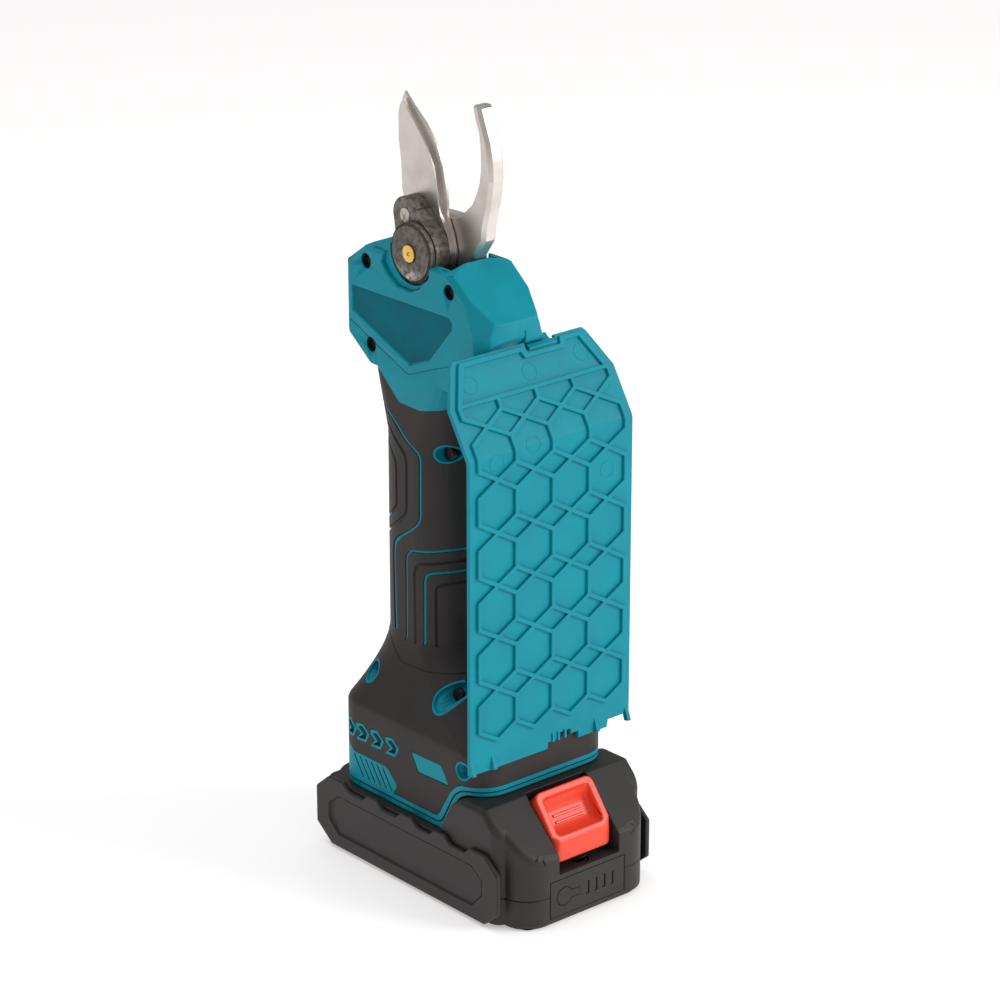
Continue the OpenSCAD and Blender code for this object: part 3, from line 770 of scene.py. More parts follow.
def keep_inside(piece: bpy.types.Object, source: bpy.types.Object) -> None:
    """Moves a piece's stray points back into another object's box.

    Args:
        piece: The rounded piece.
        source: The CAD node that it stands for.
    """
    low = [min(v.co[k] for v in source.data.vertices) for k in range(3)]
    high = [max(v.co[k] for v in source.data.vertices) for k in range(3)]
    for vert in piece.data.vertices:
        vert.co = [min(max(c, a), b) for c, a, b in zip(vert.co, low, high)]


def soften(frame: dict, node: str, cutters: Sequence[bpy.types.Object] = (), width: float = 0.4,
           segments: int = 2, angle: float = 30.0) -> bpy.types.Object:
    """Copies a CAD node with its cuts made and its edges rounded.

    Args:
        frame: The loaded frame.
        node: The CAD node's name.
        cutters: Shapes to cut out of it.
        width: Width of the rounding in millimetres.
        segments: Steps across the rounding.
        angle: Edges sharper than this many degrees are rounded.

    Returns:
        The piece, which replaces the node.
    """
    piece = merged_copy(frame, node)
    if cutters:
        carve(piece, cutters)
    round_edges(piece, width, segments, angle)
    bake_modifiers(piece)
    keep_inside(piece, frame["nodes"][node])
    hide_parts(node)
    return piece


def finish_piece(piece: bpy.types.Object, paint: Paint, slot: Slot, body: Body, angle: float = 32.0,
                 finish: Finish | None = None) -> bpy.types.Object:
    """Shades a piece, gives it its material and lets it ride.

    Args:
        piece: The object.
        paint: The materials.
        slot: The record's slot.
        body: The body it rides on.
        angle: Smoothing angle in degrees.
        finish: A finish of its own, if it differs from the slot's.

    Returns:
        The object.
    """
    shade(piece, angle)
    even = piece.modifiers.new("even", "WEIGHTED_NORMAL")
    even.keep_sharp = True
    even.weight = 80
    bake_modifiers(piece)
    piece.data.materials.clear()
    piece.data.materials.append(paint.of(finish or slot))
    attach(piece, body.value)
    log.info("%s: %d faces on %s", piece.name, len(piece.data.polygons), body.value)
    return piece


# ---------------------------------------------------------------- outer form of the tool


def rounded_path(points: Sequence[Sequence[float]], reach: float, closed: bool = False) -> list[Vector]:
    """Rounds the corners of a path.

    Args:
        points: The path's corners, in two or three dimensions.
        reach: How far along each leg the rounding begins.
        closed: Whether the path is a loop.

    Returns:
        The points of the rounded path.
    """
    corners = [Vector(p) for p in points]
    count = len(corners)
    path: list[Vector] = [] if closed else [corners[0]]
    for i in range(0 if closed else 1, count if closed else count - 1):
        here, back, ahead = corners[i], corners[i - 1], corners[(i + 1) % count]
        start = here + (back - here) * min(reach / (back - here).length, 0.45)
        end = here + (ahead - here) * min(reach / (ahead - here).length, 0.45)
        for k in range(5):
            t = k / 4
            path.append(start * (1 - t) ** 2 + here * (2 * t * (1 - t)) + end * t * t)
    if not closed:
        path.append(corners[-1])
    return path


@dataclass(frozen=True)
class Form:
    """The tool's smooth outer form from the foot to the neck, in millimetres."""

    handle: tuple[float, float, float, float] = (17.0, 4.5, 44.5, 16.0)
    foot: tuple[float, float, float, float] = (32.0, -34.5, 49.0, 12.0)
    neck: tuple[float, float, float, float] = (15.0, 3.5, 46.5, 6.0)
    foot_top: float = 62.0
    shoulder_top: float = 88.0
    neck_start: float = 165.0
    neck_top: float = 188.0
    axis_y: float = 20.0
    foot_round: float = 1.4
    foot_fall: float = 1.6
    polar_radius: float = 17.0
    skin_step: float = 1.6
    stations: tuple[float, ...] = (24, 40, 60, 61.4, 62.4, 63.6, 65, 67, 69, 71.5, 74, 77, 80, 84, 88, 110, 140,
                                   165, 170, 176, 182, 188)

    def section(self, z: float) -> list[float]:
        """Gives the section at a height.

        Args:
            z: The height.

        Returns:
            Half width, front, rear and corner radius.
        """
        if z <= self.foot_top - self.foot_round:
            return list(self.foot)
        if z < self.shoulder_top:
            rise = self.shoulder_top - self.foot_top + self.foot_round
            share = (1 - (z - self.foot_top + self.foot_round) / rise) ** self.foot_fall
            return [h + (f - h) * share for h, f in zip(self.handle, self.foot)]
        share = min(max((z - self.neck_start) / (self.neck_top - self.neck_start), 0.0), 1.0)
        return [h + (n - h) * share for h, n in zip(self.handle, self.neck)]

    def ring(self, z: float, grow: float) -> list[tuple[float, float, float]]:
        """Gives points round the section at a height.

        Args:
            z: The height.
            grow: How far outside the skin the points lie.

        Returns:
            The points, the same number at each height.
        """
        half, front, rear, r = self.section(z)
        points = []
        for cx, cy, start in ((half - r, rear - r, 0), (r - half, rear - r, 90), (r - half, front + r, 180),
                              (half - r, front + r, 270)):
            for i in range(11):
                a = math.radians(start + 9 * i)
                points.append((cx + (r + grow) * math.cos(a), cy + (r + grow) * math.sin(a), z))
        return points

    def solid(self, grow: float = 0.0) -> bmesh.types.BMesh:
        """Builds the form as a closed solid.

        Args:
            grow: How far outside the skin it reaches.

        Returns:
            The mesh in metres.
        """
        bm = bmesh.new()
        ring = self.ring(self.stations[0], grow)
        made = bmesh.ops.create_circle(bm, cap_ends=True, segments=len(ring), radius=1.0)
        for vert, p in zip(made["verts"], ring):
            vert.co = Vector(p) * MM
        face = bm.faces[:][0]
        for i, z in enumerate(self.stations[1:]):
            moved = {tuple(v.co): Vector(p) * MM for v, p in zip(made["verts"], self.ring(z, grow))}
            grown = bmesh.ops.extrude_face_region(bm, geom=[face])["geom"]
            if i:
                bmesh.ops.delete(bm, geom=[face], context="FACES_ONLY")
            fresh = {tuple(v.co): v for v in grown if isinstance(v, bmesh.types.BMVert)}
            made["verts"] = [fresh[tuple(v.co)] for v in made["verts"]]
            face = next(g for g in grown if isinstance(g, bmesh.types.BMFace))
            for key, vert in fresh.items():
                vert.co = moved[key]
        bmesh.ops.remove_doubles(bm, verts=bm.verts, dist=0.005 * MM)
        bmesh.ops.recalc_face_normals(bm, faces=bm.faces)
        return bm

    def on_skin(self, angle: float, z: float, sink: float = 0.0) -> Vector:
        """Finds the skin's point in a direction from the axis.

        Args:
            angle: Direction in radians, 0 towards -X and a quarter turn towards +Y.
            z: The height.
            sink: How far inside the skin.

        Returns:
            The point in millimetres.
        """
        half, front, rear, r = self.section(z)
        low, high = 0.0, 80.0
        for _ in range(24):
            reach = (low + high) / 2
            x, y = abs(math.cos(angle) * reach), self.axis_y + math.sin(angle) * reach
            away = max(front + r - y, y - rear + r, 0.0)
            inside = front < y < rear and x < half - r + math.sqrt(max(r * r - away * away, 0.0))
            low, high = (reach, high) if inside else (low, reach)
        return Vector((-math.cos(angle) * (low - sink), self.axis_y + math.sin(angle) * (low - sink), z))

    def drape(self, points: Sequence[Sequence[float]], sink: float, reach: float = 2.5) -> list[Vector]:
        """Lays a path on the skin.

        Args:
            points: Corners near the skin, as x, y and z.
            sink: How far inside the skin it lies.
            reach: Rounding of its corners.

        Returns:
            Closely spaced points on the skin.
        """
        polar = [(math.atan2(y - self.axis_y, -x), z) for x, y, z in points]
        spread = rounded_path([(a * self.polar_radius, z) for a, z in polar], reach)
        path: list[Vector] = []
        for start, end in zip(spread, spread[1:]):
            steps = max(1, int((end - start).length / self.skin_step))
            path += [start.lerp(end, k / steps) for k in range(steps)]
        path.append(spread[-1])
        return [self.on_skin(p[0] / self.polar_radius, p[1], sink) for p in path]


FORM = Form()
FOOT_EDGE = [(-60, 50.4), (-22.5, 48.4), (-17.5, 43.6), (-10.5, 31.4)]
HATCH_EDGE = [(14.8, 31.4), (12.7, 35.2), (18.9, 41.0), (37.8, 41.0), (42.5, 43.0), (70, 44.5)]
RIM_LOW = [(-60, 45.5), (-26.2, 45.5), (-21.9, 42.9), (-14.2, 27.4), (70, 27.4)]
NECK_EDGE = [(70, 190), (46.5, 187.4), (39.9, 186), (29.1, 177.7), (17.6, 177.4), (4, 180.4), (-60, 186)]


def mirrored(points: Sequence[Sequence[float]]) -> list[tuple[float, float, float]]:
    """Mirrors points across the parting plane."""
    return [(-p[0], p[1], p[2]) for p in points]


@dataclass
class Handle:
    """The rubber cover of the handle and foot, with its grooves and inlays."""

    paint: Paint
    thickness: float = 1.6
    groove: float = 0.7
    wide_groove: float = 1.15
    seam_groove: float = 0.32
    bead: float = 0.5
    bead_sink: float = 0.62
    wide_bead: float = 0.85
    wide_sink: float = 0.95
    bezel_wall: float = 0.7
    bezel_play: float = 0.05
    outer_line: tuple = ((-8, 43.2, 176.5), (-16.3, 34.0, 172.0), (-17.0, 24.8, 164.8), (-16.5, 16.7, 160.7),
                         (-16.6, 16.8, 135.4), (-16.9, 18.9, 132.4), (-17.0, 27.7, 126.3), (-16.8, 31.3, 123.1))
    wide_line: tuple = ((-17.0, 27.9, 126.2), (-16.8, 31.3, 123.1), (-16.6, 32.0, 118.0), (-16.8, 31.2, 88.6))
    black_lines: tuple = (
        ((-9, 42.8, 173.5), (-16.2, 33.7, 166.1), (-17.0, 23.9, 158.0), (-17.0, 24.0, 136.1),
         (-16.0, 34.0, 127.9), (-9, 42.8, 122.0)),
        ((-9, 42.8, 166.5), (-16.2, 33.5, 158.3), (-16.9, 29.9, 154.7), (-16.9, 29.9, 137.2),
         (-16.1, 33.8, 133.5)),
        ((-3.0, 4.6, 120.6), (-9.9, 7.2, 120.4), (-16.6, 17.1, 118.5), (-17.0, 19.9, 115.7),
         (-17.1, 19.6, 86.2)),
        ((-3.0, 4.6, 112.0), (-8.6, 6.4, 112.0), (-13.0, 9.9, 111.3), (-14.0, 11.1, 109.6),
         (-14.0, 10.9, 86.7)))
    teal_lines: tuple = (
        ((-3.0, 4.6, 124.9), (-10.5, 7.6, 124.9), (-17.0, 22.0, 122.3), (-17.0, 24.4, 119.5),
         (-17.2, 24.7, 85.8)),
        ((-3.0, 4.6, 116.4), (-9.9, 7.2, 116.3), (-15.4, 13.4, 115.2), (-16.1, 15.1, 113.3),
         (-16.3, 15.2, 86.6)),
        ((-16.1, 33.8, 133.5), (-9, 42.8, 127.5)))
    seam: tuple = ((0, 44.6, 90), (-8, 43.2, 89.5), (-17.2, 32.8, 83.6), (-18.6, 25.0, 78.2),
                   (-19.2, 13.7, 78.4), (-16.4, 5.6, 79.0), (-8.9, -0.6, 79.0), (0, -1, 79.0))
    holes: tuple[Point3, ...] = ((8.4, 162, 2.9), (-3, 72.5, 4.3), (37.5, 71, 3.2), (-24, 54, 3.0))

    def cover(self) -> bpy.types.Object:
        """Builds the rubber shell with all its cuts.

        Returns:
            The piece.
        """
        shell = to_object(FORM.solid(), "rubber_cover")
        edge = FOOT_EDGE + HATCH_EDGE + NECK_EDGE
        soft = [tuple(p) for p in rounded_path(edge[1:], 2.5)]
        keep = to_object(slab_x([(-60, 50.4)] + soft[:-1] + [(-60, 186)], -40, 40), "keep")
        carve(shell, [keep], Cut.COMMON)
        carve(shell, [to_object(FORM.solid(-self.thickness), "core"), *self.windows()])
        cutters = []
        for turn in (list, mirrored):
            for line in (*self.black_lines, *self.teal_lines, self.outer_line):
                cutters.append(tube(turn(FORM.drape(line, 0.0)), self.groove, "groove"))
            cutters.append(tube(turn(FORM.drape(self.wide_line, 0.0)), self.wide_groove, "wide_groove"))
            cutters.append(tube(turn(FORM.drape(self.seam, 0.0, 1.0)), self.seam_groove, "seam"))
        carve(shell, cutters)
        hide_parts("grip_left", "grip_right")
        return shell

    def windows(self) -> list[bpy.types.Object]:
        """Builds the cutters of the screw holes, vents and patches.

        Returns:
            The cutters.
        """
        wall = self.bezel_wall + self.bezel_play
        cutters = [rod("hole", (-40, y, z), (-4, y, z), r + wall) for y, z, r in self.holes]
        for sign in (-1, 1):
            for outline_ in (*Vents().outer(), Patches().parallelogram(0.3)):
                cutters.append(to_object(slab_x(outline_, sign * 29.5, sign * 34), "window"))
        return cutters

    def inlays(self) -> bpy.types.Object:
        """Builds the teal beads in the grooves.

        Returns:
            The piece.
        """
        beads = []
        for turn in (list, mirrored):
            for line in (*self.teal_lines, self.outer_line):
                beads.append(tube(turn(FORM.drape(line, self.bead_sink)), self.bead, "bead"))
            beads.append(tube(turn(FORM.drape(self.wide_line, self.wide_sink)), self.wide_bead, "wide_bead"))
        return joined(beads, "teal_beads")

    def bezels(self) -> bpy.types.Object:
        """Builds the teal rings round the screw holes.

        Returns:
            The piece.
        """
        rings = []
        for y, z, r in self.holes:
            inner_end = -4 if r < 3 or z > 100 else -12
            ring = rod("ring", (-36, y, z), (inner_end, y, z), r + self.bezel_wall)
            carve(ring, [rod("bore", (-40, y, z), (0, y, z), r)])
            carve(ring, [to_object(FORM.solid(-0.15), "limit")], Cut.COMMON)
            rings.append(ring)
        return joined(rings, "screw_bezels")

    def build(self) -> None:
        """Builds and dresses every piece of the handle."""
        finish_piece(self.cover(), self.paint, Slot.RUBBER, Body.TOOL, 40)
        for piece in (self.inlays(), self.bezels()):
            finish_piece(piece, self.paint, Slot.TEAL, Body.TOOL)


@dataclass(frozen=True)
class Vents:
    """The four chevron vents on each side of the foot, in millimetres."""

    middles: tuple[float, ...] = (39.8, 32.4, 23.9, 15.2)
    height: float = 50.4

    def chevron(self, y: float, inset: float) -> list[Point2]:
        """Gives one chevron's outline.

        Args:
            y: Middle of the chevron.
            inset: How far the outline is drawn in.

        Returns:
            Points as y and z.
        """
        k = inset
        return [(y + 4.2 - k * 1.2, 52.9 - k), (y + 0.4 + k * 0.3, 53.6 - k), (y - 3.6 + k * 1.3, 50.5),
                (y - 1.4 + k * 0.2, 46.6 + k), (y + 4.3 - k * 1.4, 46.3 + k), (y + 1.4 - k * 1.3, 49.5),
                (y + 4.1 - k * 1.6, 51.1 + k * 0.2)]

    def outer(self) -> list[list[Point2]]:
        """Gives the outlines of the windows in the rubber."""
        return [self.chevron(y, -0.2) for y in self.middles]


@dataclass(frozen=True)
class Patches:
    """The flat teal inlays on the sides of the foot, in millimetres."""

    slope: tuple[Point2, ...] = ((4.4, 51.9), (-12.2, 52.3), (-16.3, 45.9), (0.6, 45.3))

    def parallelogram(self, grow: float) -> list[Point2]:
        """Gives the slanted patch's outline.

        Args:
            grow: How far it is drawn out.

        Returns:
            Points as y and z.
        """
        (ay, az), (by, bz), (cy, cz), (dy, dz) = self.slope
        return [(ay + grow, az + grow), (by - grow, bz + grow), (cy - grow * 1.4, cz - grow),
                (dy + grow, dz - grow)]


@dataclass
class Foot:
    """The teal trim of the foot: vents, patches, hatched corners and rim, in millimetres."""

    paint: Paint
    corner: tuple[Point2, ...] = ((70, 44.3), (42.5, 42.8), (37.8, 40.8), (18.9, 40.8), (12.9, 35.2),
                                  (15.0, 31.6), (15.0, 31.0), (70, 31.0))
    hatches: int = 6
    hatch_pitch: float = 3.35
    rim_top: tuple[Point2, ...] = ((-60, 50.3), (-22.5, 48.3), (-17.5, 43.5), (-10.5, 31.3), (70, 31.3))
    rim_middle: tuple[Point2, ...] = ((-60, 47.7), (-24.3, 46.7), (-19.7, 43.2), (-12.3, 29.3), (70, 29.3))
    rim_depth: float = 0.9
    line_step: float = 0.8
    line_groove: float = 0.4
    line: float = 0.26
    line_shrink: Point2 = (0.991, 0.993)
    middle_y: float = 7.25

    def clip(self, piece: bpy.types.Object, grow: float) -> bpy.types.Object:
        """Keeps what lies inside the tool's form.

        Args:
            piece: The object.
            grow: How far outside the skin it may reach.

        Returns:
            The object.
        """
        carve(piece, [to_object(FORM.solid(grow), "limit")], Cut.COMMON)
        return piece

    def vents(self) -> None:
        """Builds the chevron frames and the dark floors in them."""
        frames, floors = [], []
        vents = Vents()
        for sign in (-1, 1):
            for y in vents.middles:
                ring = to_object(slab_x(vents.chevron(y, 0.0), sign * 29.8, sign * 33), "vent")
                carve(ring, [to_object(slab_x(vents.chevron(y, 1.0), sign * 29, sign * 34), "opening")])
                frames.append(self.clip(ring, 0.05))
                floor = to_object(slab_x(vents.chevron(y, 0.6), sign * 29.8, sign * 30.8), "floor")
                floors.append(self.clip(floor, -1.2))
        finish_piece(joined(frames, "vent_frames"), self.paint, Slot.TEAL, Body.TOOL)
        finish_piece(joined(floors, "vent_floors"), self.paint, Slot.RUBBER, Body.TOOL)

    def patches(self) -> None:
        """Builds the slanted patches and the hatched rear corners."""
        slanted = []
        for sign in (-1, 1):
            patch = to_object(slab_x(Patches().parallelogram(0.0), sign * 30.2, sign * 33), "patch")
            slanted.append(self.clip(patch, -0.12))
        finish_piece(joined(slanted, "slanted_patches"), self.paint, Slot.TEAL, Body.TOOL)
        wrap = self.clip(to_object(slab_x(self.corner, -40, 40), "hatched_corners"), -0.02)
        cutters = [to_object(FORM.solid(-1.7), "core"), *self.hatching(32.2, (38.2, 39.8), (32.6, 31.9), 0.45)]
        carve(wrap, cutters)
        finish_piece(wrap, self.paint, Slot.TEAL, Body.TOOL, 40)

    def hatching(self, x: float, top: Point2, foot: Point2, radius: float) -> list[bpy.types.Object]:
        """Builds the slanted strokes of the hatched corners.

        Args:
            x: How far from the middle plane they lie.
            top: Upper end of the first stroke, as y and z.
            foot: Lower end of the first stroke, as y and z.
            radius: Radius of a stroke.

        Returns:
            The strokes of both sides.
        """
        strokes = []
        for sign in (-1, 1):
            for k in range(self.hatches):
                ends = [(sign * x, y - self.hatch_pitch * k, z) for y, z in (top, foot)]
                strokes.append(tube(ends, radius, "hatch"))
        return strokes

    def line_path(self) -> list[Point3]:
        """Gives the way round the rim of the painted-shade line in the rim's groove.

        Returns:
            Closely spaced points of a loop on the skin.
        """
        middle = [tuple(p) for p in rounded_path(self.rim_middle, 3.0)]
        ring = [Vector(p) for p in FORM.ring(40.0, 0.0)]
        path = []
        for here, ahead in zip(ring, ring[1:] + ring[:1]):
            steps = max(1, int((ahead - here).length / self.line_step))
            for k in range(steps):
                spot = here.lerp(ahead, k / steps)
                (ya, za), (yb, zb) = next((start, end) for start, end in zip(middle, middle[1:])
                                          if start[0] <= spot.y <= end[0])
                path.append((spot.x, spot.y, za + (zb - za) * (spot.y - ya) / (yb - ya)))
        return path

    def rim(self) -> None:
        """Builds the smooth rim of the foot, and the dark beads of painted shade in the grooves of the rim and
        the hatched corners.
        """
        band = rounded_path(self.rim_top, 2.5) + rounded_path(list(reversed(RIM_LOW)), 2.5)
        rim = self.clip(to_object(slab_x([tuple(p) for p in band], -40, 40), "foot_rim"), 0.0)
        carve(rim, [to_object(FORM.solid(-self.rim_depth), "core")])
        path = self.line_path()
        carve(rim, [tube(path, self.line_groove, "rim_line", closed=True)])
        finish_piece(rim, self.paint, Slot.TEAL, Body.TOOL, 40)
        # dark beads sunk into the rim groove and the hatch strokes: painted shade that darkens the grooves
        (wide, deep), mid = self.line_shrink, self.middle_y
        sunk = [(x * wide, mid + (y - mid) * deep, z) for x, y, z in path]
        lines = [tube(sunk, self.line, "line", closed=True),
                 *self.hatching(31.8, (38.1, 39.7), (32.7, 32.0), self.line)]
        finish_piece(joined(lines, "painted_groove_shade"), self.paint, Slot.TEAL, Body.TOOL, finish=SHADOW)

    def build(self) -> None:
        """Builds and dresses every piece of the trim."""
        self.vents()
        self.patches()
        self.rim()


# ---------------------------------------------------------------- head


@dataclass
class Head:
    """The two teal shells with the head's chamfers and fittings, in millimetres."""

    frame: dict
    paint: Paint
    line: tuple[Point2, ...] = ((62, 204.6), (59.9, 203.2), (25.1, 189), (1.4, 198.3), (-16, 204.5))
    corner: tuple[Point3, ...] = ((15.2, -0.5, 229.5), (15.2, -10.0, 208.0), (9.4, -17.2, 213.5))
    corner_out: float = 1.25
    roof_point: Point3 = (15, 20, 231.34)
    roof_normal: Point3 = (2.7, 0, 11)
    # both ends of each chamfered edge of the side face
    edges: tuple = (((60.6, 198.5), (60.6, 224)), ((60.6, 224), (49.5, 232.4)), ((1, 231.6), (-17.8, 216.6)))
    # a point of each slanted top face, its normal in y and z, and that normal's length
    slants: tuple = (((49.5, 232.4), (8.4, 11.1), 13.9), ((1.0, 231.6), (-15.0, 18.8), 24.0))
    slant_reach: float = 1.5
    face_width: float = 2.2
    chamfer_depth: float = 1.5
    rim_seat: tuple[Point2, ...] = ((-60, 50.6), (-22.5, 48.5), (-17.5, 43.7), (-10.5, 31.5), (70, 31.5))
    rounding: float = 0.5
    line_groove: float = 0.28
    nut_reach: float = 11.9
    posts: tuple[Point2, ...] = ((48.3, 226.4), (2, 225.4), (46, 195.2))
    # outer and inner radius of the rings of painted shade in the screw holes
    hole_shade: Point2 = (2.89, 2.66)
    liner_ends: tuple[Point2, ...] = ((5.0, 11.0), (40.0, 46.2))
    liner_heights: Point2 = (230.9, 231.75)
    panel: tuple[Point2, ...] = ((56.3, 215.1), (2.9, 215.7), (0.6, 214.1), (1.4, 211.4), (13.4, 197.6),
                                 (24, 193.3), (56.0, 206.2))
    scallop: tuple[Point2, ...] = ((12.7, 235.5), (13.6, 227.7), (18.5, 223.0), (23.7, 220.6), (31.2, 221.0),
                                   (36.4, 224.4), (39.4, 228.1), (37.0, 235.5))

    def half_space(self, point: Vector, normal: Vector) -> bpy.types.Object:
        """Builds a large block that fills one side of a plane.

        Args:
            point: A point of the plane in millimetres.
            normal: The direction that the block lies in.

        Returns:
            The block.
        """
        bm = bmesh.new()
        size = 40.0
        turn = normal.to_track_quat("Z", "Y").to_matrix().to_4x4()
        place = Matrix.Translation((point + normal * size) * MM) @ turn
        bmesh.ops.create_cube(bm, size=2 * size * MM, matrix=place)
        return to_object(bm, "half_space")

    def chamfers(self, sign: int) -> list[bpy.types.Object]:
        """Builds the cutters of the slanted corner and of the chamfers round the side face.

        Args:
            sign: -1 for the left half, 1 for the right one.

        Returns:
            The cutters.
        """
        corner = [Vector((sign * x, y, z)) for x, y, z in self.corner]
        normal = (corner[1] - corner[0]).cross(corner[2] - corner[0]).normalized()
        if normal.x * sign < 0:
            normal.negate()
        point, roof = (Vector((sign * x, y, z)) for x, y, z in (self.roof_point, self.roof_normal))
        cutters = [self.half_space(corner[0] + normal * self.corner_out, normal),
                   self.half_space(point, roof.normalized())]
        for (ya, za), (yb, zb) in self.edges:
            away = Vector((0, za - zb, yb - ya)).normalized()
            if away.z < 0 and abs(yb - ya) > 0.1 or away.y < 0 and abs(yb - ya) <= 0.1:
                away.negate()
            start = Vector((sign * 15.0, ya, za)) - away * self.face_width
            slant = Vector((sign * self.face_width, 0, 0)) + away * self.chamfer_depth
            cutters.append(self.half_space(start, slant.normalized()))
        return cutters

    def shell(self, node: str, sign: int) -> bpy.types.Object:
        """Builds one shell from its CAD node.

        Args:
            node: The node's name.
            sign: -1 for the left half, 1 for the right one.

        Returns:
            The piece.
        """
        piece = merged_copy(self.frame, node)
        cutters = self.chamfers(sign)
        band = [*self.rim_seat, *((y, z - 0.4) for y, z in reversed(RIM_LOW))]
        belt = to_object(slab_x(band, -40, 40), "belt")
        carve(belt, [to_object(FORM.solid(-0.95), "core")])
        cutters.append(belt)
        carve(piece, cutters)
        round_chosen(piece, self.rounding, 3, lambda a, b: (a - b).length > 1.2 and a.z > 187 and b.z > 187
                     and max(abs(a.x), abs(b.x)) > 3.3 and self.outside(a, 0.4) and self.outside(b, 0.4))
        path = [(sign * 15.0, y, z) for y, z in rounded_path(self.line, 1.5)]
        carve(piece, [tube(path, self.line_groove, "head_line")])
        keep_inside(piece, self.frame["nodes"][node])
        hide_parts(node)
        return piece

    def outside(self, p: Vector, reach: float) -> bool:
        """Tells whether a point lies on the head's outer form rather than in its cavity.

        Args:
            p: The point in millimetres.
            reach: How far under the outer form still counts.

        Returns:
            True on the outside.
        """
        return abs(p.x) > 13.1 + reach or p.z > 232.2 + reach or p.y < -16.3 or p.y > 58.8 or self.above(p)

    def above(self, p: Vector) -> bool:
        """Tells whether a point lies near one of the head's two slanted top faces.

        Args:
            p: The point in millimetres.

        Returns:
            True near the rear or the front slant, or over it.
        """
        return any((p.y - y) * rise + (p.z - z) * run > -self.slant_reach * length
                   for (y, z), (rise, run), length in self.slants)

    def panels(self) -> None:
        """Builds the darker sheets in the recesses of the side faces."""
        sheets = [to_object(slab_x(self.panel, sign * 14.1, sign * 14.34), "panel") for sign in (-1, 1)]
        finish_piece(joined(sheets, "head_panels"), self.paint, Slot.TEAL, Body.TOOL, finish=PANEL_SHEET)

    def pocket(self) -> None:
        """Builds the ledge round the lower half of the pivot nut."""
        ledge = to_object(slab_x(self.scallop, -13.3, -11.45), "nut_pocket")
        carve(ledge, [rod("bore", (-16, *PIVOT), (-8, *PIVOT), self.nut_reach, 64)])
        finish_piece(ledge, self.paint, Slot.TEAL, Body.TOOL)

    def hole_shades(self) -> None:
        """Builds thin dark rings of painted shade on the walls of the screw holes in the left face."""
        outer, inner = self.hole_shade
        rings = []
        for y, z in self.posts:
            ring = rod("hole_shade", (-14.5, y, z), (-11.05, y, z), outer)
            carve(ring, [rod("bore", (-16, y, z), (-10, y, z), inner)])
            rings.append(ring)
        # coloured with the groove shade: painted shade inside the screw holes
        finish_piece(joined(rings, "screw_hole_shades"), self.paint, Slot.TEAL, Body.TOOL, finish=SHADOW)

    def liners(self) -> None:
        """Builds the strips that close the roof from inside beside the blade slot."""
        low, high = self.liner_heights
        strips = []
        for sign in (-1, 1):
            for y0, y1 in self.liner_ends:
                corners = [(y0, low), (y1, low), (y1, high), (y0, high)]
                strips.append(to_object(slab_x(corners, sign * 11.9, sign * 13.1), "strip"))
        finish_piece(joined(strips, "roof_liners"), self.paint, Slot.TEAL, Body.TOOL)

    def build(self) -> None:
        """Builds and dresses the shells, their panels, the nut's pocket, the painted shade in the screw holes
        and the liners.
        """
        for node, sign in (("housing_left", -1), ("housing_right", 1)):
            finish_piece(self.shell(node, sign), self.paint, Slot.TEAL, Body.TOOL, 35)
        self.panels()
        self.pocket()
        self.hole_shades()
        self.liners()


# ---------------------------------------------------------------- guard


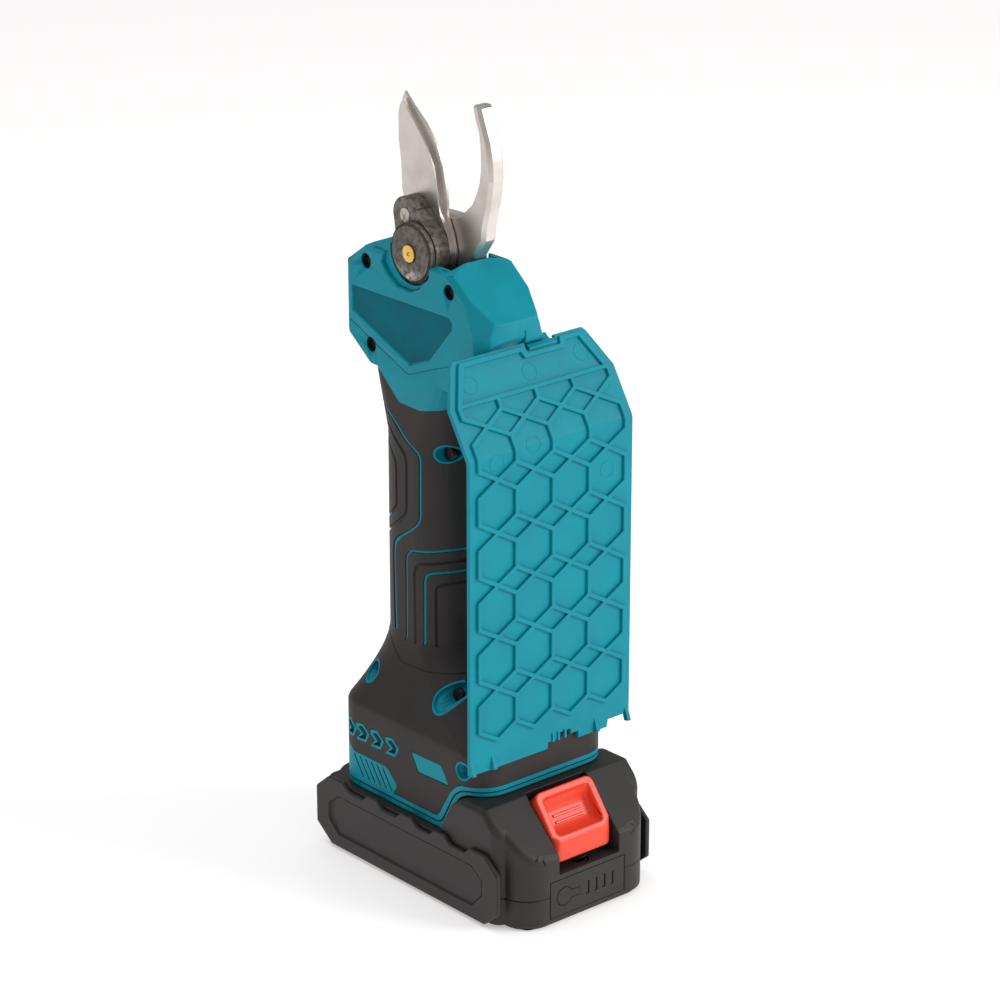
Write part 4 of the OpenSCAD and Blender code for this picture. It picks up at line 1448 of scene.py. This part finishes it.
@dataclass
class Guard:
    """The hand guard with its honeycomb ribs, built flat and then bent, in millimetres."""

    paint: Paint
    face: float = -37.6
    bend_at: float = 177.8
    lean: float = 31.6
    bend_length: float = 3.0
    column: float = 17.3
    row: float = 19.85
    first_row: float = 79.5
    rib: float = 0.8
    relief: float = 1.1
    plate: float = 1.6
    root: float = 0.3
    mark_places: tuple[Point2, ...] = ((-26.5, 204.4), (26.0, 205.2), (0.8, 203.4), (-8.65, 178.0),
                                       (-25.95, 175.0), (26.2, 160.0))
    mark_radius: float = 3.2
    fins: tuple[Point3, ...] = ((-38.6, -37.2, 2.0), (-28.6, -27.1, 1.8), (21.2, 22.7, 1.8), (36.4, 37.9, 2.0))
    lower_ribs: tuple[float, ...] = (0.4, 3.0, 6.2)
    lower_rib: float = 0.9
    hook_centre: Point2 = (-16.6, 208.8)
    hook_radii: Point2 = (3.4, 2.3)
    hook_lead: tuple[Point2, ...] = ((-20.2, 206.6), (-20.2, 205.8), (-18.2, 204.4))
    hook_ends: Point2 = (3.6, 16.4)

    @property
    def slope(self) -> float:
        """Rise of a slanted rib over its run."""
        return self.row / 4 / (self.column / 2)

    def cells(self) -> list[list[Point2]]:
        """Gives the outlines of all hollows between the ribs.

        Returns:
            Outlines as x and length along the guard.
        """
        half, quarter = self.column / 2, self.row / 4
        drop = self.rib / math.cos(math.atan(self.slope))
        side = self.rib / math.sin(math.atan(self.slope))
        inner = half - self.rib
        cells: list[list[Point2]] = []
        for r in range(6):
            s = self.first_row + r * self.row
            for c in (-1.5, -0.5, 0.5, 1.5):
                x = c * self.column
                top = 2 * quarter - drop
                rise = inner * self.slope
                cells.append([(x, s + top), (x - inner, s + top - rise), (x - inner, s - top + rise),
                              (x, s - top), (x + inner, s - top + rise), (x + inner, s + top - rise)])
            for c in (-1, 0, 1):
                x, mid = c * self.column, s + self.row / 2
                cells.append([(x, mid + quarter - drop), (x - half + side, mid), (x, mid - quarter + drop),
                              (x + half - side, mid)])
        crossing = self.first_row + 5.5 * self.row
        for c in (-1.5, -0.5, 0.5, 1.5):
            x, low = c * self.column, crossing + drop
            start = low + inner * self.slope
            cells.append([(x, low), (x + inner, start), (x + inner, 197.0), (x - inner, 197.0),
                          (x - inner, start)])
        cells.append([(-32.9, 198.6), (32.9, 198.6), (26.9, 210.8), (20.6, 210.8), (19.6, 208.2), (0.4, 208.2),
                      (-0.6, 210.8), (-26.9, 210.8)])
        return cells

    def raised(self) -> list[Point2]:
        """Gives the outline of everything that stands at the ribs' level.

        Returns:
            The outline as x and length along the guard.
        """
        half, quarter = self.column / 2, self.row / 4
        drop = self.rib / math.cos(math.atan(self.slope))
        side = self.rib / math.sin(math.atan(self.slope))
        edge = 2 * self.column + self.rib
        right: list[Point2] = []
        for r in range(6):
            s = self.first_row + r * self.row
            reach = (edge - 1.5 * self.column - side) * self.slope
            right += [(edge, s - 2 * quarter + reach), (edge, s + 2 * quarter - reach),
                      (1.5 * self.column + side, s + 2 * quarter)]
        right += [(edge + 0.4, 193.0), (edge + 0.4, 197.4), (29.2, 211.4), (28.3, 212.7)]
        notch = [(18.4, 212.7), (17.6, 210.0), (2.4, 210.0), (1.6, 212.7)]
        left = [(-x, s) for x, s in reversed(right)]
        bottom = []
        for c in (-1.5, -0.5, 0.5, 1.5):
            bottom.append((c * self.column, self.first_row - 2 * quarter - drop))
            if c < 1.5:
                bottom.append(((c + 0.5) * self.column, self.first_row - quarter - drop))
        return bottom + right + notch + left

    def border(self) -> list[Point2]:
        """Gives the outline of the whole plate.

        Returns:
            The outline as x and length along the guard.
        """
        return [(-38.6, 58.4), (-28.6, 58.2), (-1.4, 58.2), (-1.4, 60.6), (4.0, 60.6), (4.0, 63.0), (9.6, 63.0),
                (9.6, 61.0), (13.4, 61.0), (13.4, 58.3), (27.6, 58.3), (28.2, 61.2), (36.8, 61.2), (37.2, 58.6),
                (38.6, 58.6), (38.6, 197.8), (31.9, 212.2), (30.4, 213.9), (17.0, 213.9), (17.0, 211.2),
                (3.0, 211.2), (3.0, 213.9), (-30.4, 213.9), (-31.9, 212.2), (-38.6, 197.8)]

    def bent(self, x: float, depth: float, s: float) -> Vector:
        """Places a point of the flat guard on the bent one.

        Args:
            x: Place across.
            depth: Depth under the ribs' level.
            s: Length along the guard.

        Returns:
            The point in millimetres.
        """
        turn = math.radians(self.lean)
        radius = self.bend_length / turn
        start = self.bend_at - radius * math.tan(turn / 2)
        angle = min(max((s - start) / radius, 0.0), turn)
        beyond = max(s - start - self.bend_length, 0.0)
        y = self.face + radius * (1 - math.cos(angle)) + beyond * math.sin(angle)
        z = min(s, start) + radius * math.sin(angle) + beyond * math.cos(angle)
        return Vector((x, y + depth * math.cos(angle), z - depth * math.sin(angle)))

    def bend(self, piece: bpy.types.Object) -> None:
        """Bends a flat piece in place.

        Args:
            piece: The object, drawn with x across, y as the depth and z along the guard.
        """
        bm = bmesh.new()
        bm.from_mesh(piece.data)
        turn = math.radians(self.lean)
        start = self.bend_at - self.bend_length / turn * math.tan(turn / 2)
        for k in range(5):
            bmesh.ops.bisect_plane(bm, geom=bm.verts[:] + bm.edges[:] + bm.faces[:], dist=1e-7,
                                   plane_co=(0, 0, (start + self.bend_length * k / 4) * MM), plane_no=(0, 0, 1))
        for vert in bm.verts:
            x, depth, s = vert.co / MM
            vert.co = self.bent(x, depth, s) * MM
        bm.to_mesh(piece.data)
        bm.free()

    def marks(self) -> list[bpy.types.Object]:
        """Builds the faint ring marks on the flat guard.

        Returns:
            The rings.
        """
        rings = []
        for x, s in self.mark_places:
            turns = [k * math.pi / 24 for k in range(48)]
            circle = [(x + self.mark_radius * math.cos(t), self.relief, s + self.mark_radius * math.sin(t))
                      for t in turns]
            rings.append(tube(circle, 0.1, "mark", closed=True))
        return rings

    def hook_arc(self, radius: float, angles: Iterable[int]) -> list[Point2]:
        """Gives points of the hook that goes round the head's tab.

        Args:
            radius: Distance from the tab's middle.
            angles: Directions in degrees.

        Returns:
            Points as y and z.
        """
        y, z = self.hook_centre
        turns = [math.radians(a) for a in angles]
        return [(radius * math.cos(t) + y, radius * math.sin(t) + z) for t in turns]

    def fittings(self) -> list[bpy.types.Object]:
        """Builds the fins and short ribs on the lower edge, and the hook.

        Returns:
            The pieces, already in their bent place.
        """
        back = self.face + self.relief
        seat = back + self.root
        pieces = []
        for x0, x1, tip in self.fins:
            fin = [(seat, 64.6), (back - tip, 58.8), (seat, 58.3)]
            pieces.append(to_object(slab_x(fin, x0, x1), "fin"))
        rib = [(seat, 65.0), (back - 0.6, 63.4), (back - 0.6, 60.6), (seat, 60.6)]
        pieces += [to_object(slab_x(rib, x, x + self.lower_rib), "rib") for x in self.lower_ribs]
        outer, inner = self.hook_radii
        hook = [*self.hook_lead, *self.hook_arc(outer, range(264, 345, 10)),
                *self.hook_arc(inner, range(344, 214, -12))]
        pieces.append(to_object(slab_x(hook, *self.hook_ends), "hook"))
        return pieces

    def build(self) -> None:
        """Builds and dresses the guard."""
        ribs = to_object(slab_y(self.raised(), 0, self.relief + self.root), "guard_ribs")
        carve(ribs, [joined([to_object(slab_y(cell, -1, 3), "cell") for cell in self.cells()], "cells")])
        plate = to_object(slab_y(self.border(), self.relief, self.relief + self.plate), "guard_plate")
        for piece in (ribs, plate):
            round_edges(piece, 0.22, 2, 25)
            bake_modifiers(piece)
        guard = joined([ribs, plate, *self.marks()], "honeycomb_guard")
        self.bend(guard)
        guard = joined([guard, *self.fittings()], "honeycomb_guard")
        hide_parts("hand_guard")
        finish_piece(guard, self.paint, Slot.TEAL, Body.GUARD, 30)


# ---------------------------------------------------------------- blades


@dataclass
class Blades:
    """The blades, their drive plate and their pivot, in millimetres."""

    frame: dict
    paint: Paint
    tip: tuple[Point2, ...] = ((7.7, 290.8), (1.9, 289.4), (-8, 286.6), (-8, 296), (7.7, 296))

    def build(self) -> None:
        """Builds and dresses the blades and the pivot."""
        tip = to_object(slab_x(self.tip, -6, 12), "tip")
        hook = soften(self.frame, "fixed_blade", width=1.3, segments=1, angle=60)
        carve(hook, [tip])
        finish_piece(hook, self.paint, Slot.BLADE, Body.TOOL, 20)
        for node, width, segments, slot, body, angle in (
                ("moving_blade", 0.12, 2, Slot.BLADE, Body.BLADE, 25),
                ("sector_gear", 0.5, 2, Slot.DARK, Body.BLADE, 35),
                ("pivot_nut", 0.6, 3, Slot.DARK, Body.TOOL, 35)):
            piece = soften(self.frame, node, width=width, segments=segments)
            finish_piece(piece, self.paint, slot, body, angle)
        dimple = rod("dimple", (-15.4, *PIVOT), (-14.5, *PIVOT), 0.8, 16)
        finish_piece(soften(self.frame, "grease_plug", (dimple,), 0.25), self.paint, Slot.BRASS, Body.TOOL, 35)


# ---------------------------------------------------------------- battery


@dataclass
class Battery:
    """The battery's shell, pads, gauge and release button, in millimetres."""

    frame: dict
    paint: Paint
    rounded: tuple = (("battery_base", 0.6), ("pad_left", 0.6), ("pad_right", 0.6), ("gauge_plate", 0.25))
    shoulder_radius: float = 2.4
    button_line: tuple[Point2, ...] = ((-42.6, 46), (-55, 30.2), (-55, 22.4), (-51, 22.4), (-51, 26.6),
                                       (-37.6, 40.6))
    button_half: float = 14
    slope_top: Point3 = (0, -42.6, 46)
    slope_down: Point3 = (0, -0.6175, -0.7869)
    slope_out: Point3 = (0, -0.7869, 0.6175)
    # distance down the slope and height over it
    scoop_line: tuple[Point2, ...] = ((2.6, 6), (2.6, -0.6), (7.2, -4.4), (14.2, -4.4), (17.6, -0.8), (17.6, 6))
    scoop_half: float = 11
    rib_places: Point2 = (9.6, 12.2)
    rib_height: float = -4.3
    rib_half: float = 6.5

    def build(self) -> None:
        """Builds and dresses every piece of the battery."""
        for node, width in self.rounded:
            piece = soften(self.frame, node, width=width, segments=3, angle=32)
            finish_piece(piece, self.paint, Slot.BLACK, Body.BATTERY, 40)
        cover = merged_copy(self.frame, "battery_cover")
        round_chosen(cover, self.shoulder_radius, 5, self.shoulder)
        round_edges(cover, 0.45, 2, 40)
        bake_modifiers(cover)
        keep_inside(cover, self.frame["nodes"]["battery_cover"])
        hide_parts("battery_cover")
        finish_piece(cover, self.paint, Slot.BLACK, Body.BATTERY, 40)
        finish_piece(soften(self.frame, "gauge_button", width=0.15), self.paint, Slot.BLACK, Body.CHARGE, 40)
        self.button()

    @staticmethod
    def shoulder(a: Vector, b: Vector) -> bool:
        """Tells whether an edge runs round the top of the cover's front block.

        Args:
            a: One end in millimetres.
            b: The other end.

        Returns:
            True for an outer edge of the slope and of the top in front of the tool.
        """
        outer = all(abs(p.x) > 20 or p.y > -39 for p in (a, b)) and all(p.z > 26 and p.y < -22 for p in (a, b))
        return outer and (abs(a.x) + abs(b.x)) / 2 > 20

    @staticmethod
    def button_corner(a: Vector, b: Vector) -> bool:
        """Tells whether an edge is an upright corner at the button's top or foot.

        Args:
            a: One end in millimetres.
            b: The other end.

        Returns:
            True for a corner that is rounded.
        """
        side = abs(a.x - b.x) < 0.1 and abs(a.x) > 13
        ends = min(a.z, b.z) > 38 or max(a.z, b.z) < 30.5
        return side and ends and max(a.y, b.y) < -37 and not (a.y > -51.5 and a.z < 30)

    def button(self) -> None:
        """Builds the release button with its rounded scoop and two ribs."""
        button = to_object(slab_x(self.button_line, -self.button_half, self.button_half), "release_button_look")
        round_chosen(button, 3.2, 5, self.button_corner)
        top, down, out = Vector(self.slope_top), Vector(self.slope_down), Vector(self.slope_out)
        section = [top + down * along + out * height for along, height in self.scoop_line]
        scoop = to_object(slab_x([(p.y, p.z) for p in section], -self.scoop_half, self.scoop_half), "scoop")
        round_chosen(scoop, 1.6, 4, lambda a, b: min((a - top).dot(out), (b - top).dot(out)) < 0)
        carve(button, [scoop])
        round_edges(button, 0.7, 3, 40)
        bake_modifiers(button)
        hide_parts("release_button")
        finish_piece(button, self.paint, Slot.RED, Body.LATCH, 40)
        ribs = []
        for along in self.rib_places:
            _, y, z = top + down * along + out * self.rib_height
            ribs.append(tube([(-self.rib_half, y, z), (self.rib_half, y, z)], 0.55, "rib"))
        finish_piece(joined(ribs, "button_ribs"), self.paint, Slot.RED, Body.LATCH)


# ---------------------------------------------------------------- CAD nodes and studio


def dress_nodes(frame: dict, paint: Paint) -> None:
    """Gives every CAD node its slot's finish, and the screws and latch spring a black one.

    Args:
        frame: The loaded frame.
        paint: The materials.
    """
    for entry in frame["record"]["subparts"]:
        node = frame["nodes"][entry["node"]]
        material = paint.of(BLACK_OXIDE if entry["node"] in OXIDE_NODES else Slot(entry["material_slot"]))
        for place in node.material_slots:
            place.link = "OBJECT"
            place.material = material


@dataclass
class Studio:
    """Floor, soft lights and camera."""

    azimuth: float = -0.7156
    elevation: float = 0.3645
    distance: float = 1.34449
    target: Point3 = (0.00721, 0.0, 0.14233)
    lens: float = 133.13
    aim: Point3 = (0, 0, 0.13)
    floor_glow: float = 0.4
    world_light: float = 0.42
    world_seen: float = 1.2
    lights: tuple = (("key", (0.95, -1.4, 0.9), 0.8, 18.0, (1.0, 0.985, 0.97)),
                     ("side", (-1.7, -0.5, 0.9), 1.1, 0.6, (1.0, 0.99, 0.98)),
                     ("top", (-0.2, 0.3, 1.8), 1.2, 9.0, (1.0, 1.0, 1.0)))

    def floor(self) -> None:
        """Lays the pale floor."""
        bm = bmesh.new()
        bmesh.ops.create_grid(bm, x_segments=1, y_segments=1, size=6.0)
        floor = to_object(bm, "floor")
        material, graph, shader = start_material("pale_floor")
        noise = graph.add("ShaderNodeTexNoise", Scale=3.0)
        tone = mix_colour(graph, noise.outputs["Fac"], (0.93, 0.92, 0.92), (0.95, 0.94, 0.94))
        graph.join(tone, shader.inputs["Base Color"])
        shader.inputs["Roughness"].default_value = 0.6
        shader.inputs["Emission Color"].default_value = (1.0, 0.985, 0.98, 1.0)
        shader.inputs["Emission Strength"].default_value = self.floor_glow
        floor.data.materials.append(material)

    def light(self, name: str, place: Point3, size: float, power: float, tint: Colour) -> None:
        """Hangs a soft square light that faces the tool.

        Args:
            name: The light's name.
            place: Where it hangs, in metres.
            size: Its side, in metres.
            power: Its power in watts.
            tint: Its colour.
        """
        lamp = bpy.data.lights.new(name, "AREA")
        lamp.size = size
        lamp.energy = power
        lamp.color = tint
        holder = bpy.data.objects.new(name, lamp)
        holder.location = place
        holder.rotation_euler = (Vector(self.aim) - Vector(place)).to_track_quat("-Z", "Y").to_euler()
        bpy.context.scene.collection.objects.link(holder)

    def camera(self) -> None:
        """Places the camera."""
        a, e = self.azimuth, self.elevation
        back = Vector((math.sin(a) * math.cos(e), -math.cos(a) * math.cos(e), math.sin(e)))
        view = bpy.data.cameras.new("camera")
        view.lens = self.lens
        view.sensor_width = 36.0
        view.clip_start = 0.05
        holder = bpy.data.objects.new("camera", view)
        holder.location = Vector(self.target) + back * self.distance
        holder.rotation_euler = back.to_track_quat("Z", "Y").to_euler()
        bpy.context.scene.collection.objects.link(holder)
        bpy.context.scene.camera = holder

    def surroundings(self) -> None:
        """Lights the tool from all sides, and hides the floor's far edge from the camera."""
        world = bpy.data.worlds.new("studio")
        world.use_nodes = True
        background = world.node_tree.nodes["Background"]
        background.inputs["Color"].default_value = (1.0, 1.0, 1.0, 1.0)
        graph = Graph(world.node_tree)
        seen = graph.add("ShaderNodeMapRange")
        seen.inputs["To Min"].default_value = self.world_light
        seen.inputs["To Max"].default_value = self.world_seen
        graph.join(graph.add("ShaderNodeLightPath").outputs["Is Camera Ray"], seen.inputs["Value"])
        graph.join(seen.outputs[0], background.inputs["Strength"])
        bpy.context.scene.world = world

    def build(self) -> None:
        """Builds the studio."""
        self.floor()
        for name, place, size, power, tint in self.lights:
            self.light(name, place, size, power, tint)
        self.surroundings()
        bpy.context.scene.view_settings.view_transform = "Standard"
        self.camera()


def main() -> None:
    """Builds the studio and every sub-assembly."""
    logging.basicConfig(level=logging.INFO, format="%(name)s: %(message)s")
    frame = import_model()
    paint = Paint()
    Studio().build()
    dress_nodes(frame, paint)
    for part in (Head(frame, paint), Handle(paint), Foot(paint), Guard(paint), Blades(frame, paint),
                 Battery(frame, paint)):
        part.build()


if __name__ == "__main__":
    main()
